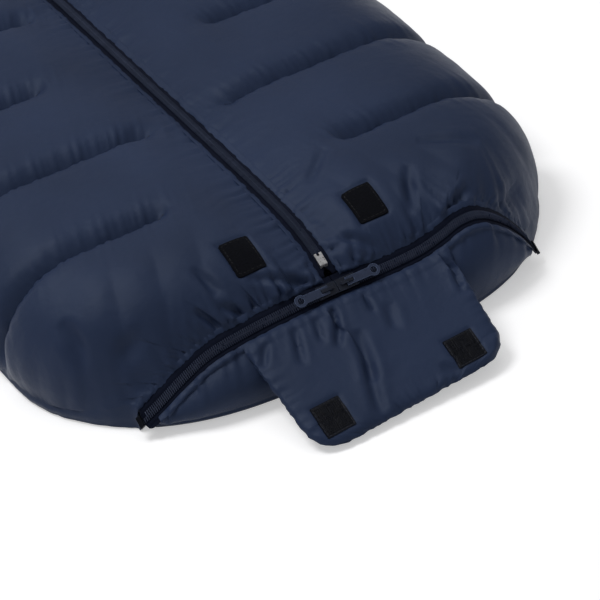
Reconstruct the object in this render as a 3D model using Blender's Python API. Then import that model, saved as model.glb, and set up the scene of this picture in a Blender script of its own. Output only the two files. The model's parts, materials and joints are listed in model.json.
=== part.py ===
"""Stroller footmuff: a padded back mat, two quilted covers joined by a centre zip, a foot panel
joined to the covers by a curved foot zip with two sliders, and a flap that closes over that zip.

Metres, +Z up. The origin lies on the flat underside, below the middle of the foot zip, and +Y
runs to the head end.
"""
import math

import bmesh
import bpy
from mathutils import Matrix, Vector

MM = 0.001

# Cloth and padding
CLEARANCE = 0.3 * MM
SHELL = 1.0 * MM
LINING = 1.2 * MM
BACK_WADDING = 13.0 * MM
COVER_WADDING = 10.0 * MM
PANEL_WADDING = 7.0 * MM
FLAP_WADDING = 2.4 * MM
FLAP_BACKING = 0.9 * MM

# Plan of the back mat
BODY_HALF_WIDTH = 222 * MM
FOOT_HALF_WIDTH = 174 * MM
WIDENING_LENGTH = 110 * MM
WIDENING_POWER = 2.2
FOOT_REACH = 25 * MM
FOOT_SETBACK = 13 * MM
FOOT_POWER = 3.5
BACK_LENGTH = 930 * MM
HEAD_ROUNDING = 110 * MM
SEAM_EDGE = 14 * MM
SEAM_ROLL = 46 * MM
SEAM_PAD = 3.2 * MM

# Harness slots: half spacing, distance from the foot zip, width and length of each
SHOULDER_SLOT_X = 62 * MM
SHOULDER_SLOT_Y = 725 * MM
WAIST_SLOT_X = 104 * MM
WAIST_SLOT_Y = 475 * MM
CROTCH_SLOT_Y = 405 * MM
SLOT_LENGTH = 46 * MM
SLOT_WIDTH = 9 * MM
SLOT_BINDING = 6 * MM
SLOT_BINDING_THICKNESS = 1.2 * MM

# Covers
COVER_LENGTH = 620 * MM
COVER_HEIGHT = 96 * MM
SHOULDER_RADIUS = 75 * MM
SHOULDER_SHARE = 0.52
UNDERCUT_ANGLE = math.radians(25)
PUFF_LENGTH = 30 * MM
VALLEY_DEPTH = 9 * MM
VALLEY_START_SHARE = 0.62
HEM_WIDTH = 3 * MM
QUILT_FIRST = 120 * MM
QUILT_PITCH = 107 * MM
QUILT_DEPTH = 7 * MM
QUILT_HALF_WIDTH = 16 * MM
SHORT_QUILT_END = 68 * MM
LONG_QUILT_END = 24 * MM
QUILT_START_SHARE = 0.155
FOOT_ROW_LENGTHS = (0.0, 7 * MM, 15 * MM, 26 * MM, 42 * MM, 64 * MM, 92 * MM)
SIDE_HINGE_OUTSET = 7 * MM
SIDE_HINGE_HEIGHT = 15 * MM

# Foot zip: its middle height, the height and place of its ends, and its tilted lane
ZIP_HEIGHT = 55 * MM
ZIP_END_HEIGHT = 14 * MM
ZIP_END_INSET = 4 * MM
LANE_HALF_WIDTH = 11 * MM
LANE_TILT = math.radians(35)
LANE_DEPTH = 3 * MM
LEFT_ZIP_SHARES = (
    (0.00, 1.00), (0.22, 0.96), (0.44, 0.90), (0.65, 0.76), (0.80, 0.47), (0.91, 0.20), (1.00, 0.00),
)
RIGHT_ZIP_SHARES = (
    (0.00, 1.00), (0.22, 0.97), (0.42, 1.00), (0.54, 1.12), (0.64, 1.26), (0.74, 1.22),
    (0.86, 0.85), (0.95, 0.38), (1.00, 0.00),
)

# Zip hardware
TAPE_THICKNESS = 0.7 * MM
COIL_ROW_WIDTH = 3.5 * MM
COIL_HEIGHT = 2.1 * MM
POST_RADIUS = 1.1 * MM
SLIDER_LENGTH = 16 * MM
SLIDER_WIDTH = 10 * MM
SLIDER_PLATE = 1.1 * MM
BRIDGE_LENGTH = 10 * MM
BRIDGE_HEIGHT = 2.9 * MM
BRIDGE_WIDTH = 2.4 * MM
BRIDGE_BAR = 0.9 * MM
BRIDGE_LEG = 2.4 * MM
PULL_LENGTH = 28.5 * MM
PULL_WIDTH = 6.6 * MM
PULL_THICKNESS = 1.1 * MM
PULL_BAR = 1.2 * MM
PULL_SLOT = 5.2 * MM
PULL_RING = 9.6 * MM
PULL_HOLE = 5.4 * MM
STOP_WIDTH = 6.5 * MM
STOP_LENGTH = 9 * MM
STOP_NOTCH = 2 * MM
STOP_START = 15 * MM
END_STOP_LENGTH = 4 * MM
CENTRE_SLIDER_DROP = 18 * MM
FOOT_SLIDER_LEFT_MIDDLE = 78 * MM
FOOT_SLIDER_LEFT_END = 148 * MM
FOOT_SLIDER_RIGHT_MIDDLE = 109 * MM
FOOT_SLIDER_RIGHT_SINK = 3.3 * MM
FOOT_SLIDER_RIGHT_END = 134 * MM
PULL_PLAY = 0.45 * MM

# Foot panel and foot flap
ZIP_STATIONS = 32
PANEL_BULGE = 8 * MM
FLAP_LEFT = 86 * MM
FLAP_RIGHT = 92 * MM
FLAP_SEAM_HEIGHT = 50 * MM
FLAP_REACH_LEFT = 107 * MM
FLAP_REACH_RIGHT = 100 * MM
FLAP_TIP_LEFT = 7 * MM
FLAP_TIP_RIGHT = 14 * MM
FLAP_CORNER = 24 * MM
FLAP_SLOPE = math.radians(24)
FLAP_TAPER = 5 * MM
FLAP_ROW_SHARES = (0.0, 0.3, 0.55, 0.76, 0.85, 0.93, 1.0)
FLAP_HINGE_HEIGHT = 53.0 * MM
FLAP_HINGE_Y = 19.0 * MM

# Hook and loop patches
PATCH_WIDTH = 25 * MM
PATCH_LENGTH = 30 * MM
PATCH_THICKNESS = 1.8 * MM
LOOP_X = 53 * MM
LOOP_Y = 42 * MM
HOOK_X = 58 * MM
HOOK_SHARE = 0.78

# Steps to a neighbouring point of a face, and halvings when a place on a face is searched for
NEIGHBOUR_STEP = 2 * MM
NEIGHBOUR_SHARE = 0.02
FALL_STEP_SHARE = 0.05
END_STEP_SHARE = 0.03
HALVINGS = 24

# Places derived from the sizes above
SEAM_LEVEL = SHELL + SEAM_PAD + LINING + 2 * CLEARANCE
BACK_THICKNESS = SHELL + BACK_WADDING + LINING + 2 * CLEARANCE
COVER_BASE = SEAM_LEVEL + CLEARANCE
ZIP_HALF_SPAN = FOOT_HALF_WIDTH - ZIP_END_INSET
LANE_ACROSS = Vector((0.0, math.cos(LANE_TILT), math.sin(LANE_TILT)))
LANE_OUT = Vector((0.0, -math.sin(LANE_TILT), math.cos(LANE_TILT)))
FOOT_ROW_Y = (LANE_ACROSS * LANE_HALF_WIDTH).y + CLEARANCE
FLAP_THICKNESS = SHELL + FLAP_WADDING + FLAP_BACKING + 2 * CLEARANCE
COIL_BASE = TAPE_THICKNESS / 2 + CLEARANCE
COIL_TOP = COIL_BASE + COIL_HEIGHT
PLATE_TOP = COIL_TOP + CLEARANCE + SLIDER_PLATE
PLATE_BOTTOM = -TAPE_THICKNESS / 2 - CLEARANCE - SLIDER_PLATE
GAP_MIDDLE = PLATE_TOP + (BRIDGE_HEIGHT - BRIDGE_BAR) / 2

SIDES = (("left", -1), ("right", 1))


def srgb(red, green, blue):
    """Linear colour from an 8-bit display colour."""
    channels = []
    for value in (red, green, blue):
        share = value / 255
        channels.append(share / 12.92 if share <= 0.04045 else ((share + 0.055) / 1.055) ** 2.4)
    return (*channels, 1.0)


FINISHES = {
    "navy_nylon": (srgb(43, 52, 72), 0.55, 0.0),
    "wadding": (srgb(226, 228, 230), 0.95, 0.0),
    "fleece": (srgb(96, 102, 112), 0.95, 0.0),
    "black_tape": (srgb(14, 16, 23), 0.80, 0.0),
    "coil": (srgb(18, 20, 28), 0.45, 0.0),
    "loop_pile": (srgb(11, 12, 17), 0.95, 0.0),
    "hook_pile": (srgb(21, 24, 34), 0.75, 0.0),
    "steel": (srgb(176, 178, 182), 0.28, 1.0),
    "enamel": (srgb(34, 39, 52), 0.30, 0.2),
}


def material(name):
    """Principled material of a finish, made once."""
    if name in bpy.data.materials:
        return bpy.data.materials[name]
    colour, roughness, metallic = FINISHES[name]
    made = bpy.data.materials.new(name)
    made.use_nodes = True
    shader = made.node_tree.nodes["Principled BSDF"]
    shader.inputs["Base Color"].default_value = colour
    shader.inputs["Roughness"].default_value = roughness
    shader.inputs["Metallic"].default_value = metallic
    made.diffuse_color = colour
    return made


def clamp(value, low=0.0, high=1.0):
    return min(high, max(low, value))


def ease(share):
    """Smooth step from 0 to 1."""
    share = clamp(share)
    return share * share * (3 - 2 * share)


def mix(first, second, share):
    return first + (second - first) * share


def steps(count):
    """Even shares from 0 to 1."""
    return [index / count for index in range(count + 1)]


def new_object(name, mesh, finish, parent=None):
    """Object in the scene with one material, kept in place under its parent."""
    mesh.materials.clear()
    mesh.materials.append(material(finish))
    made = bpy.data.objects.new(name, mesh)
    bpy.context.scene.collection.objects.link(made)
    if parent:
        made.parent = parent
        made.matrix_parent_inverse = parent.matrix_world.inverted()
    return made


def pivot(name, place, parent=None):
    """Empty on a joint's axis, which carries the pieces that turn or slide there."""
    made = bpy.data.objects.new(name, None)
    made.matrix_world = Matrix.Translation(place)
    bpy.context.scene.collection.objects.link(made)
    if parent:
        made.parent = parent
        made.matrix_parent_inverse = parent.matrix_world.inverted()
    bpy.context.view_layer.update()
    return made


def sheet(name, outer, inner, columns, rows, finish, parent=None, omit=None):
    """Closed skin between two faces that share one grid: outer(c, r) and inner(c, r) give its points.

    omit(column index, row index) names the cells that stay open.
    """
    work = bmesh.new()
    across, along = len(columns) - 1, len(rows) - 1
    bmesh.ops.create_grid(work, x_segments=across, y_segments=along, size=1)
    place = {}
    for vertex in work.verts:
        column = round((vertex.co.x + 1) / 2 * across)
        row = round((vertex.co.y + 1) / 2 * along)
        place[vertex] = (column, row)
    if omit:
        open_cells = []
        for face in work.faces:
            column = min(place[vertex][0] for vertex in face.verts)
            row = min(place[vertex][1] for vertex in face.verts)
            if omit(column, row):
                open_cells.append(face)
        bmesh.ops.delete(work, geom=open_cells, context="FACES")
    bmesh.ops.triangulate(work, faces=work.faces[:], quad_method="FIXED")
    grid = {vertex: place[vertex] for vertex in work.verts}
    spots = {}
    for vertex, (column, row) in grid.items():
        spots[(column, row)] = inner(columns[column], rows[row])
        vertex.co = outer(columns[column], rows[row])
    marks = {tuple(vertex.co): grid[vertex] for vertex in work.verts}
    extruded = bmesh.ops.extrude_face_region(work, geom=work.faces[:])
    for item in extruded["geom"]:
        if isinstance(item, bmesh.types.BMVert):
            item.co = spots[marks[tuple(item.co)]]
    bmesh.ops.recalc_face_normals(work, faces=work.faces[:])
    mesh = bpy.data.meshes.new(name)
    work.to_mesh(mesh)
    work.free()
    mesh.shade_smooth()
    mesh.set_sharp_from_angle(angle=math.radians(50))
    return new_object(name, mesh, finish, parent)


def box(size_low, size_high):
    """Box mesh data between two corners."""
    work = bmesh.new()
    bmesh.ops.create_cube(work, size=1)
    low, high = Vector(size_low), Vector(size_high)
    for vertex in work.verts:
        share = vertex.co + Vector((0.5, 0.5, 0.5))
        vertex.co = Vector(mix(low[i], high[i], share[i]) for i in range(3))
    return work


def prism(outline, low, high):
    """Flat outline in x and z, drawn out along y."""
    work = bmesh.new()
    ring = [work.verts.new((x, low, z)) for x, z in outline]
    face = work.faces.new(ring)
    extruded = bmesh.ops.extrude_face_region(work, geom=[face])
    for item in extruded["geom"]:
        if isinstance(item, bmesh.types.BMVert):
            item.co.y = high
    bmesh.ops.recalc_face_normals(work, faces=work.faces[:])
    return work


def rod(radius, place, low, high, sides):
    """Upright cylinder."""
    work = bmesh.new()
    turned = Matrix.Translation((place.x, place.y, (low + high) / 2))
    bmesh.ops.create_cone(
        work, cap_ends=True, segments=sides, radius1=radius, radius2=radius, depth=high - low, matrix=turned
    )
    return work


def helper(name, work):
    """Shape that only joins or cuts another one."""
    mesh = bpy.data.meshes.new(name)
    work.to_mesh(mesh)
    work.free()
    made = bpy.data.objects.new(name, mesh)
    made.hide_render = True
    made.display_type = "WIRE"
    bpy.context.scene.collection.objects.link(made)
    return made


def combined(name, body, joined, cut):
    """One mesh from a body, the shapes joined to it and the shapes cut from it."""
    base = helper(name, body)
    tools = [(helper(name, work), "UNION") for work in joined]
    tools += [(helper(name, work), "DIFFERENCE") for work in cut]
    for tool, operation in tools:
        step = base.modifiers.new(operation, "BOOLEAN")
        step.operation = operation
        step.solver = "EXACT"
        step.object = tool
    bpy.context.view_layer.update()
    seen = base.evaluated_get(bpy.context.evaluated_depsgraph_get())
    mesh = bpy.data.meshes.new_from_object(seen)
    mesh.name = name
    for spent in [base] + [tool for tool, _ in tools]:
        bpy.data.objects.remove(spent)
    mesh.shade_smooth()
    mesh.set_sharp_from_angle(angle=math.radians(40))
    return mesh


# Plan of the mat


def half_width(y):
    """Half the body's width at a distance from the foot zip."""
    share = clamp(y / WIDENING_LENGTH)
    return FOOT_HALF_WIDTH + (BODY_HALF_WIDTH - FOOT_HALF_WIDTH) * (1 - (1 - share) ** WIDENING_POWER)


def foot_outline(u):
    """Front edge of the mat: u is the share of the half width, -1 to 1."""
    return -FOOT_REACH + (FOOT_REACH + FOOT_SETBACK) * abs(u) ** FOOT_POWER


def head_outline(u):
    """Rounded head end of the mat."""
    return BACK_LENGTH - HEAD_ROUNDING * (1 - math.sqrt(max(0.0, 1 - u * u)))


def mat_plan(u, y):
    """Place in plan of a grid point: the first and last rows bend to the two ends."""
    front_share = clamp(1 - y / WIDENING_LENGTH)
    bend_start = BACK_LENGTH - 2 * HEAD_ROUNDING
    head_share = clamp((y - bend_start) / (BACK_LENGTH - bend_start))
    place_y = y + foot_outline(u) * front_share + (head_outline(u) - BACK_LENGTH) * head_share
    return u * half_width(y), place_y


def mat_top(u, y):
    """Height of the mat's upper face: thin at its seams and full inside them."""
    x, place_y = mat_plan(u, y)
    height = 1.0
    for inside in (half_width(y) - abs(x), place_y - foot_outline(u), head_outline(u) - place_y):
        height *= ease((inside - SEAM_EDGE) / SEAM_ROLL)
    return mix(SEAM_LEVEL, BACK_THICKNESS, height)


def mat_face(drop):
    """Upper face of the mat, lowered by a depth."""
    return lambda u, y: Vector((*mat_plan(u, y), mat_top(u, y) - drop))


def mat_floor(level):
    """Flat face of the mat at a level."""
    return lambda u, y: Vector((*mat_plan(u, y), level))


def slot_boxes():
    """Name of each harness slot's binding, and the slot's middle, width and length along the body."""
    slots = [("crotch_slot_binding", 0.0, CROTCH_SLOT_Y, SLOT_LENGTH, SLOT_WIDTH)]
    for side, sign in SIDES:
        shoulder, waist = f"shoulder_slot_binding_{side}", f"waist_slot_binding_{side}"
        slots.append((shoulder, sign * SHOULDER_SLOT_X, SHOULDER_SLOT_Y, SLOT_LENGTH, SLOT_WIDTH))
        slots.append((waist, sign * WAIST_SLOT_X, WAIST_SLOT_Y, SLOT_WIDTH, SLOT_LENGTH))
    return slots


def mat_grid():
    """Columns and rows that run along every slot's edges, and the cells that the slots leave open."""
    inner = BODY_HALF_WIDTH - SEAM_EDGE
    rolled = inner - SEAM_ROLL
    xs = {-BODY_HALF_WIDTH, BODY_HALF_WIDTH, -inner, inner, -rolled, rolled}
    rows_at = {0.0, SEAM_EDGE, SEAM_EDGE + SEAM_ROLL, WIDENING_LENGTH, BACK_LENGTH / 3}
    rows_at |= {BACK_LENGTH - 2 * HEAD_ROUNDING, BACK_LENGTH - HEAD_ROUNDING, BACK_LENGTH}
    rows_at |= {BACK_LENGTH - SEAM_EDGE, BACK_LENGTH - SEAM_EDGE - SEAM_ROLL}
    spans = []
    for _, x, y, width, length in slot_boxes():
        xs |= {x - width / 2, x + width / 2}
        rows_at |= {y - length / 2, y + length / 2}
        spans.append((x - width / 2, x + width / 2, y - length / 2, y + length / 2))
    columns = [x / BODY_HALF_WIDTH for x in sorted(xs)]
    rows = sorted(rows_at)

    def open_cell(column, row):
        x = (columns[column] + columns[column + 1]) / 2 * BODY_HALF_WIDTH
        y = (rows[row] + rows[row + 1]) / 2
        return any(x0 < x < x1 and y0 < y < y1 for x0, x1, y0, y1 in spans)

    return columns, rows, open_cell


def make_back():
    """Outer cloth on the ground, wadding, and fleece lining, with the harness slots through all three."""
    columns, rows, open_cell = mat_grid()
    wadding_floor = SHELL + CLEARANCE
    layers = (
        ("back_shell", mat_floor(SHELL), mat_floor(0.0), "navy_nylon"),
        ("back_wadding", mat_face(LINING + CLEARANCE), mat_floor(wadding_floor), "wadding"),
        ("back_lining", mat_face(0.0), mat_face(LINING), "fleece"),
    )
    for name, top, bottom, finish in layers:
        sheet(name, top, bottom, columns, rows, finish, omit=open_cell)
    for name, x, y, width, length in slot_boxes():
        make_slot_binding(name, x, y, width, length)
    make_back_binding()


def make_slot_binding(name, x, y, width, length):
    """Flat woven frame on the lining round one harness slot."""
    columns = [x - width / 2 - SLOT_BINDING, x - width / 2, x + width / 2, x + width / 2 + SLOT_BINDING]
    rows = [y - length / 2 - SLOT_BINDING, y - length / 2, y + length / 2, y + length / 2 + SLOT_BINDING]
    base = BACK_THICKNESS + CLEARANCE

    def top(column, row):
        return Vector((column, row, base + SLOT_BINDING_THICKNESS))

    def bottom(column, row):
        return Vector((column, row, base))

    sheet(name, top, bottom, columns, rows, "black_tape", omit=lambda column, row: (column, row) == (1, 1))


def head_edge():
    """Plan of the mat's edge beyond the covers, from its left side round to its right."""
    columns, rows, _ = mat_grid()
    start = COVER_LENGTH + QUILT_HALF_WIDTH
    beyond = [start] + [row for row in rows if start < row < BACK_LENGTH]
    plan = [mat_plan(-1, y) for y in beyond]
    plan += [mat_plan(u, BACK_LENGTH) for u in columns]
    plan += [mat_plan(1, y) for y in reversed(beyond)]
    return [Vector((x, y, 0)) for x, y in plan]


def make_back_binding():
    """Bound edge round the part of the mat that lies beyond the covers."""
    edge = head_edge()
    last = len(edge) - 1
    stations = list(range(len(edge)))
    outs = (CLEARANCE, CLEARANCE + HEM_WIDTH)

    def at(level):
        def place(station, out):
            along = edge[min(last, station + 1)] - edge[max(0, station - 1)]
            outward = Vector((-along.y, along.x, 0)).normalized()
            return edge[station] + outward * out + Vector((0, 0, level))

        return place

    sheet("back_binding", at(SEAM_LEVEL), at(SHELL / 2), stations, outs, "black_tape")


# Foot zip


def zip_height(x):
    """Height of the foot zip's tape at a distance from the middle, on a smooth curve through its shares."""
    points = RIGHT_ZIP_SHARES if x > 0 else LEFT_ZIP_SHARES
    reach = clamp(abs(x) / ZIP_HALF_SPAN)
    last = len(points) - 1
    index = max(i for i in range(last) if points[i][0] <= reach)

    def slope(i):
        before, after = points[max(0, i - 1)], points[min(last, i + 1)]
        return 0.0 if i == 0 else (after[1] - before[1]) / (after[0] - before[0])

    (x0, y0), (x1, y1) = points[index], points[index + 1]
    width = x1 - x0
    t = (reach - x0) / width
    rise = y0 * (1 + 2 * t) * (1 - t) ** 2 + slope(index) * width * t * (1 - t) ** 2
    rise += y1 * t * t * (3 - 2 * t) + slope(index + 1) * width * t * t * (t - 1)
    return mix(ZIP_END_HEIGHT, ZIP_HEIGHT, rise)


def zip_table(sign, count=120):
    """Distances from the middle in steps, and the length of zip up to each."""
    xs = [sign * ZIP_HALF_SPAN * share for share in steps(count)]
    lengths = [0.0]
    for before, after in zip(xs, xs[1:]):
        rise = zip_height(after) - zip_height(before)
        lengths.append(lengths[-1] + math.hypot(after - before, rise))
    return xs, lengths


ZIP_TABLES = {sign: zip_table(sign) for _, sign in SIDES}


def zip_point(sign, share, start=0.0):
    """Point on the foot zip: share 0 lies at the start distance from the middle, 1 at the end."""
    xs, lengths = ZIP_TABLES[sign]
    first = next(i for i, x in enumerate(xs) if abs(x) >= start)
    skipped = lengths[first] - (abs(xs[first]) - start)
    target = mix(skipped, lengths[-1], clamp(share))
    index = max(i for i in range(len(lengths) - 1) if lengths[i] <= target)
    part = (target - lengths[index]) / (lengths[index + 1] - lengths[index])
    x = mix(xs[index], xs[index + 1], part)
    return Vector((x, 0, zip_height(x)))


def whole_zip_point(share):
    """Point on the foot zip: share runs from -1 at its left end to 1 at its right end."""
    return zip_point(-1 if share < 0 else 1, abs(share))


def parting(distance):
    """How far the two rows of coil stand apart beside a slider's post."""
    near = ease(1 - (abs(distance) - SLIDER_LENGTH / 2) / SLIDER_LENGTH)
    return mix(CLEARANCE / 2, POST_RADIUS + CLEARANCE, near)


def make_foot_row(name, place, shares, side_sign, across, levels, finish, parent=None):
    """Strip along the foot zip: across and levels are its limits in the tilted lane."""

    def face(level):
        def at(share, edge):
            middle = place(share)
            shift = parting(middle.x)
            reach = edge(shift) if callable(edge) else edge
            return middle + LANE_ACROSS * reach * side_sign + LANE_OUT * level

        return at

    return sheet(name, face(levels[1]), face(levels[0]), shares, across, finish, parent)


TAPE_LEVELS = (-TAPE_THICKNESS / 2, TAPE_THICKNESS / 2)
COIL_LEVELS = (COIL_BASE, COIL_TOP)
TAPE_ACROSS = (lambda shift: shift, LANE_HALF_WIDTH - CLEARANCE)
COIL_ACROSS = (lambda shift: shift, lambda shift: shift + COIL_ROW_WIDTH)


# Covers


def section_point(side, u, y):
    """Outer face of a cover's full cross-section: u is 0 at the side seam and 1 at the zip lane."""
    width = half_width(y)
    reach = SHOULDER_RADIUS * math.cos(UNDERCUT_ANGLE)
    rise = (COVER_HEIGHT - COVER_BASE) / (1 + math.sin(UNDERCUT_ANGLE))
    middle_x = width - reach
    middle_z = COVER_BASE + rise * math.sin(UNDERCUT_ANGLE)
    if u < SHOULDER_SHARE:
        angle = mix(-UNDERCUT_ANGLE, math.pi / 2, u / SHOULDER_SHARE)
        x, z = middle_x + SHOULDER_RADIUS * math.cos(angle), middle_z + rise * math.sin(angle)
    else:
        flat = (u - SHOULDER_SHARE) / (1 - SHOULDER_SHARE)
        valley = ease((flat - VALLEY_START_SHARE) / (1 - VALLEY_START_SHARE))
        x, z = mix(middle_x, LANE_HALF_WIDTH, flat), COVER_HEIGHT - VALLEY_DEPTH * valley
    return Vector((side * x, y, z))


def quilt_lines():
    """Distance from the foot zip of each stitched line, and how near the centre zip it ends."""
    count = int((COVER_LENGTH - QUILT_FIRST) / QUILT_PITCH) + 1
    ends = (SHORT_QUILT_END, LONG_QUILT_END)
    return [(QUILT_FIRST + QUILT_PITCH * index, ends[index % 2]) for index in range(count)]


def cover_face(side, u, y):
    """Outer face of a cover, drawn in along its quilt lines and down to the foot zip."""
    puff = 1 - math.exp(-(y - FOOT_ROW_Y) / PUFF_LENGTH)
    start = LANE_HALF_WIDTH
    foot = zip_point(side, 1 - u, start) + LANE_ACROSS * LANE_HALF_WIDTH + LANE_OUT * LANE_DEPTH
    body = section_point(side, u, y)
    point = Vector((mix(foot.x, body.x, puff), y, mix(foot.z, body.z, puff)))
    middle = Vector((side * half_width(y) / 2, y, COVER_BASE))
    for line, end in quilt_lines():
        near = ease(1 - abs(y - line) / QUILT_HALF_WIDTH)
        reach = ease((abs(point.x) - end) / QUILT_HALF_WIDTH)
        rolled = ease(u / QUILT_START_SHARE)
        point += (middle - point).normalized() * QUILT_DEPTH * near * reach * rolled
    return point


def surface_normal(surface, u, y, sign):
    """Unit normal of a cover's face from points close by."""
    low, high = max(0.0, u - NEIGHBOUR_SHARE), min(1.0, u + NEIGHBOUR_SHARE)
    across = surface(high, y) - surface(low, y)
    along = surface(u, y + NEIGHBOUR_STEP) - surface(u, y - NEIGHBOUR_STEP)
    return (across.cross(along) * sign).normalized()


def cover_layer(side, depth):
    """Face of a cover at a depth below its outer face."""

    def at(u, y):
        def surface(column, row):
            return cover_face(side, column, max(FOOT_ROW_Y, row))

        normal = surface_normal(surface, u, y, -side)
        normal.y *= ease((y - FOOT_ROW_Y) / LANE_HALF_WIDTH) * ease((COVER_LENGTH - y) / LANE_HALF_WIDTH)
        return surface(u, y) - normal.normalized() * depth

    return at


def cover_rows():
    """Rows of a cover: close together by the foot zip and at each stitched line."""
    rows = [FOOT_ROW_Y + length for length in FOOT_ROW_LENGTHS]
    for line, _ in quilt_lines():
        rows += [line - QUILT_HALF_WIDTH, line, line + QUILT_HALF_WIDTH, line + QUILT_PITCH / 2]
    return sorted(row for row in rows if row < COVER_LENGTH - QUILT_HALF_WIDTH) + [COVER_LENGTH]


def layer_depths(wadding):
    """Depths of the shell, wadding and lining below the outer face."""
    inner = SHELL + CLEARANCE
    lining = inner + wadding + CLEARANCE
    return (("shell", 0.0, SHELL), ("wadding", inner, inner + wadding), ("lining", lining, lining + LINING))


LAYER_FINISH = {"shell": "navy_nylon", "wadding": "wadding", "lining": "fleece"}


def centre_height(y):
    """Height of the centre zip's tape."""
    edge = (cover_face(1, 1.0, y).z + cover_face(-1, 1.0, y).z) / 2
    return edge - LANE_DEPTH


def make_centre_row(name, sign, rows, across, levels, finish, parent):
    """Strip along the centre zip."""

    def face(level):
        def at(edge, y):
            shift = parting(y - (COVER_LENGTH - CENTRE_SLIDER_DROP + SLIDER_LENGTH / 2))
            reach = edge(shift) if callable(edge) else edge
            return Vector((sign * reach, y, centre_height(y) + level))

        return at

    return sheet(name, face(levels[1]), face(levels[0]), across, rows, finish, parent)


def make_cover(side_name, sign, parent):
    """One cover: its three layers, hem, loop patch, and the zip tapes and coils sewn to it."""
    columns = steps(9)
    rows = cover_rows()
    for layer, top, bottom in layer_depths(COVER_WADDING):
        name = f"cover_{side_name}_{layer}"
        sheet(name, cover_layer(sign, top), cover_layer(sign, bottom), columns, rows, LAYER_FINISH[layer], parent)

    depth = layer_depths(COVER_WADDING)[-1][2]
    hem = [COVER_LENGTH + CLEARANCE, COVER_LENGTH + CLEARANCE + HEM_WIDTH]

    def hem_face(level):
        return lambda u, y: cover_layer(sign, level)(u, COVER_LENGTH) + Vector((0, y - COVER_LENGTH, 0))

    sheet(f"cover_hem_{side_name}", hem_face(0.0), hem_face(depth), columns, hem, "black_tape", parent)
    make_loop_patch(side_name, sign, parent)

    shares = steps(ZIP_STATIONS // 2)

    def place(share):
        return zip_point(sign, share, CLEARANCE)

    make_foot_row(
        f"foot_tape_upper_{side_name}", place, shares, 1, TAPE_ACROSS, TAPE_LEVELS, "black_tape", parent
    )
    make_foot_row(f"foot_coil_upper_{side_name}", place, shares, 1, COIL_ACROSS, COIL_LEVELS, "coil", parent)

    tape_start = (LANE_ACROSS * LANE_HALF_WIDTH).y + TAPE_THICKNESS + CLEARANCE
    zip_rows = [y for y in rows if y > STOP_START + STOP_LENGTH + CLEARANCE]
    tape_rows = [tape_start, STOP_START] + [STOP_START + STOP_LENGTH + CLEARANCE] + zip_rows
    coil_end = COVER_LENGTH - END_STOP_LENGTH - CLEARANCE
    coil_rows = [y for y in tape_rows[2:] if y < coil_end] + [coil_end]
    make_centre_row(
        f"centre_tape_{side_name}", sign, tape_rows, TAPE_ACROSS, TAPE_LEVELS, "black_tape", parent
    )
    make_centre_row(f"centre_coil_{side_name}", sign, coil_rows, COIL_ACROSS, COIL_LEVELS, "coil", parent)
    stop_rows = [COVER_LENGTH - END_STOP_LENGTH, COVER_LENGTH]
    make_centre_row(
        f"centre_top_stop_{side_name}", sign, stop_rows, COIL_ACROSS, COIL_LEVELS, "steel", parent
    )


def make_loop_patch(side_name, sign, parent):
    """Fuzzy loop patch on a cover, following its puffed face."""
    rows = [LOOP_Y - PATCH_LENGTH / 2 + PATCH_LENGTH * share for share in steps(4)]
    columns = [LOOP_X - PATCH_WIDTH / 2 + PATCH_WIDTH * share for share in steps(4)]

    def column_share(x, y):
        low, high = 0.0, 1.0
        for _ in range(HALVINGS):
            middle = (low + high) / 2
            low, high = (middle, high) if abs(cover_face(sign, middle, y).x) > x else (low, middle)
        return (low + high) / 2

    def at(level):
        return lambda x, y: cover_layer(sign, -level)(column_share(x, y), y)

    sheet(
        f"loop_patch_{side_name}", at(CLEARANCE + PATCH_THICKNESS), at(CLEARANCE), columns, rows, "loop_pile", parent
    )


def make_bottom_stop(parent):
    """Metal box stop with a notch, crimped over both tapes at the foot end of the centre zip."""
    half, notch = STOP_WIDTH / 2, STOP_NOTCH / 2
    start, end = STOP_START, STOP_START + STOP_LENGTH
    outline = [(-half, start), (half, start), (half, end), (notch, end)]
    outline += [(notch, end - STOP_NOTCH), (-notch, end - STOP_NOTCH), (-notch, end), (-half, end)]
    work = bmesh.new()
    corners = []
    for x, y in outline:
        corners.append(work.verts.new((x, y, centre_height(y) + COIL_BASE)))
    extruded = bmesh.ops.extrude_face_region(work, geom=[work.faces.new(corners)])
    for item in extruded["geom"]:
        if isinstance(item, bmesh.types.BMVert):
            item.co.z += COIL_HEIGHT + SLIDER_PLATE
    bmesh.ops.recalc_face_normals(work, faces=work.faces[:])
    bmesh.ops.triangulate(work, faces=work.faces[:])
    mesh = bpy.data.meshes.new("bottom_stop")
    work.to_mesh(mesh)
    work.free()
    new_object("bottom_stop", mesh, "steel", parent)


# Foot panel


def panel_face(share, fall):
    """Outer face of the foot panel: share runs across from -1 to 1, fall from the zip down to the mat."""
    place = whole_zip_point(share)
    top = place - LANE_ACROSS * LANE_HALF_WIDTH - LANE_OUT * (TAPE_THICKNESS / 2 + CLEARANCE)
    u = place.x / FOOT_HALF_WIDTH
    bottom = Vector((place.x, foot_outline(u), COVER_BASE))
    point = mix(top, bottom, fall)
    point.y -= PANEL_BULGE * math.sin(math.pi * fall) * clamp((top.z - bottom.z) / ZIP_HEIGHT * 2)
    return point


def panel_layer(depth):
    """Face of the foot panel at a depth behind its outer face."""

    def at(share, fall):
        above = panel_face(share, max(0.0, fall - FALL_STEP_SHARE))
        below = panel_face(share, min(1.0, fall + FALL_STEP_SHARE))
        down = (below - above).normalized()
        inward = Vector((0, -down.z, min(0.0, down.y))).normalized()
        return panel_face(share, fall) + inward * depth

    return at


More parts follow.
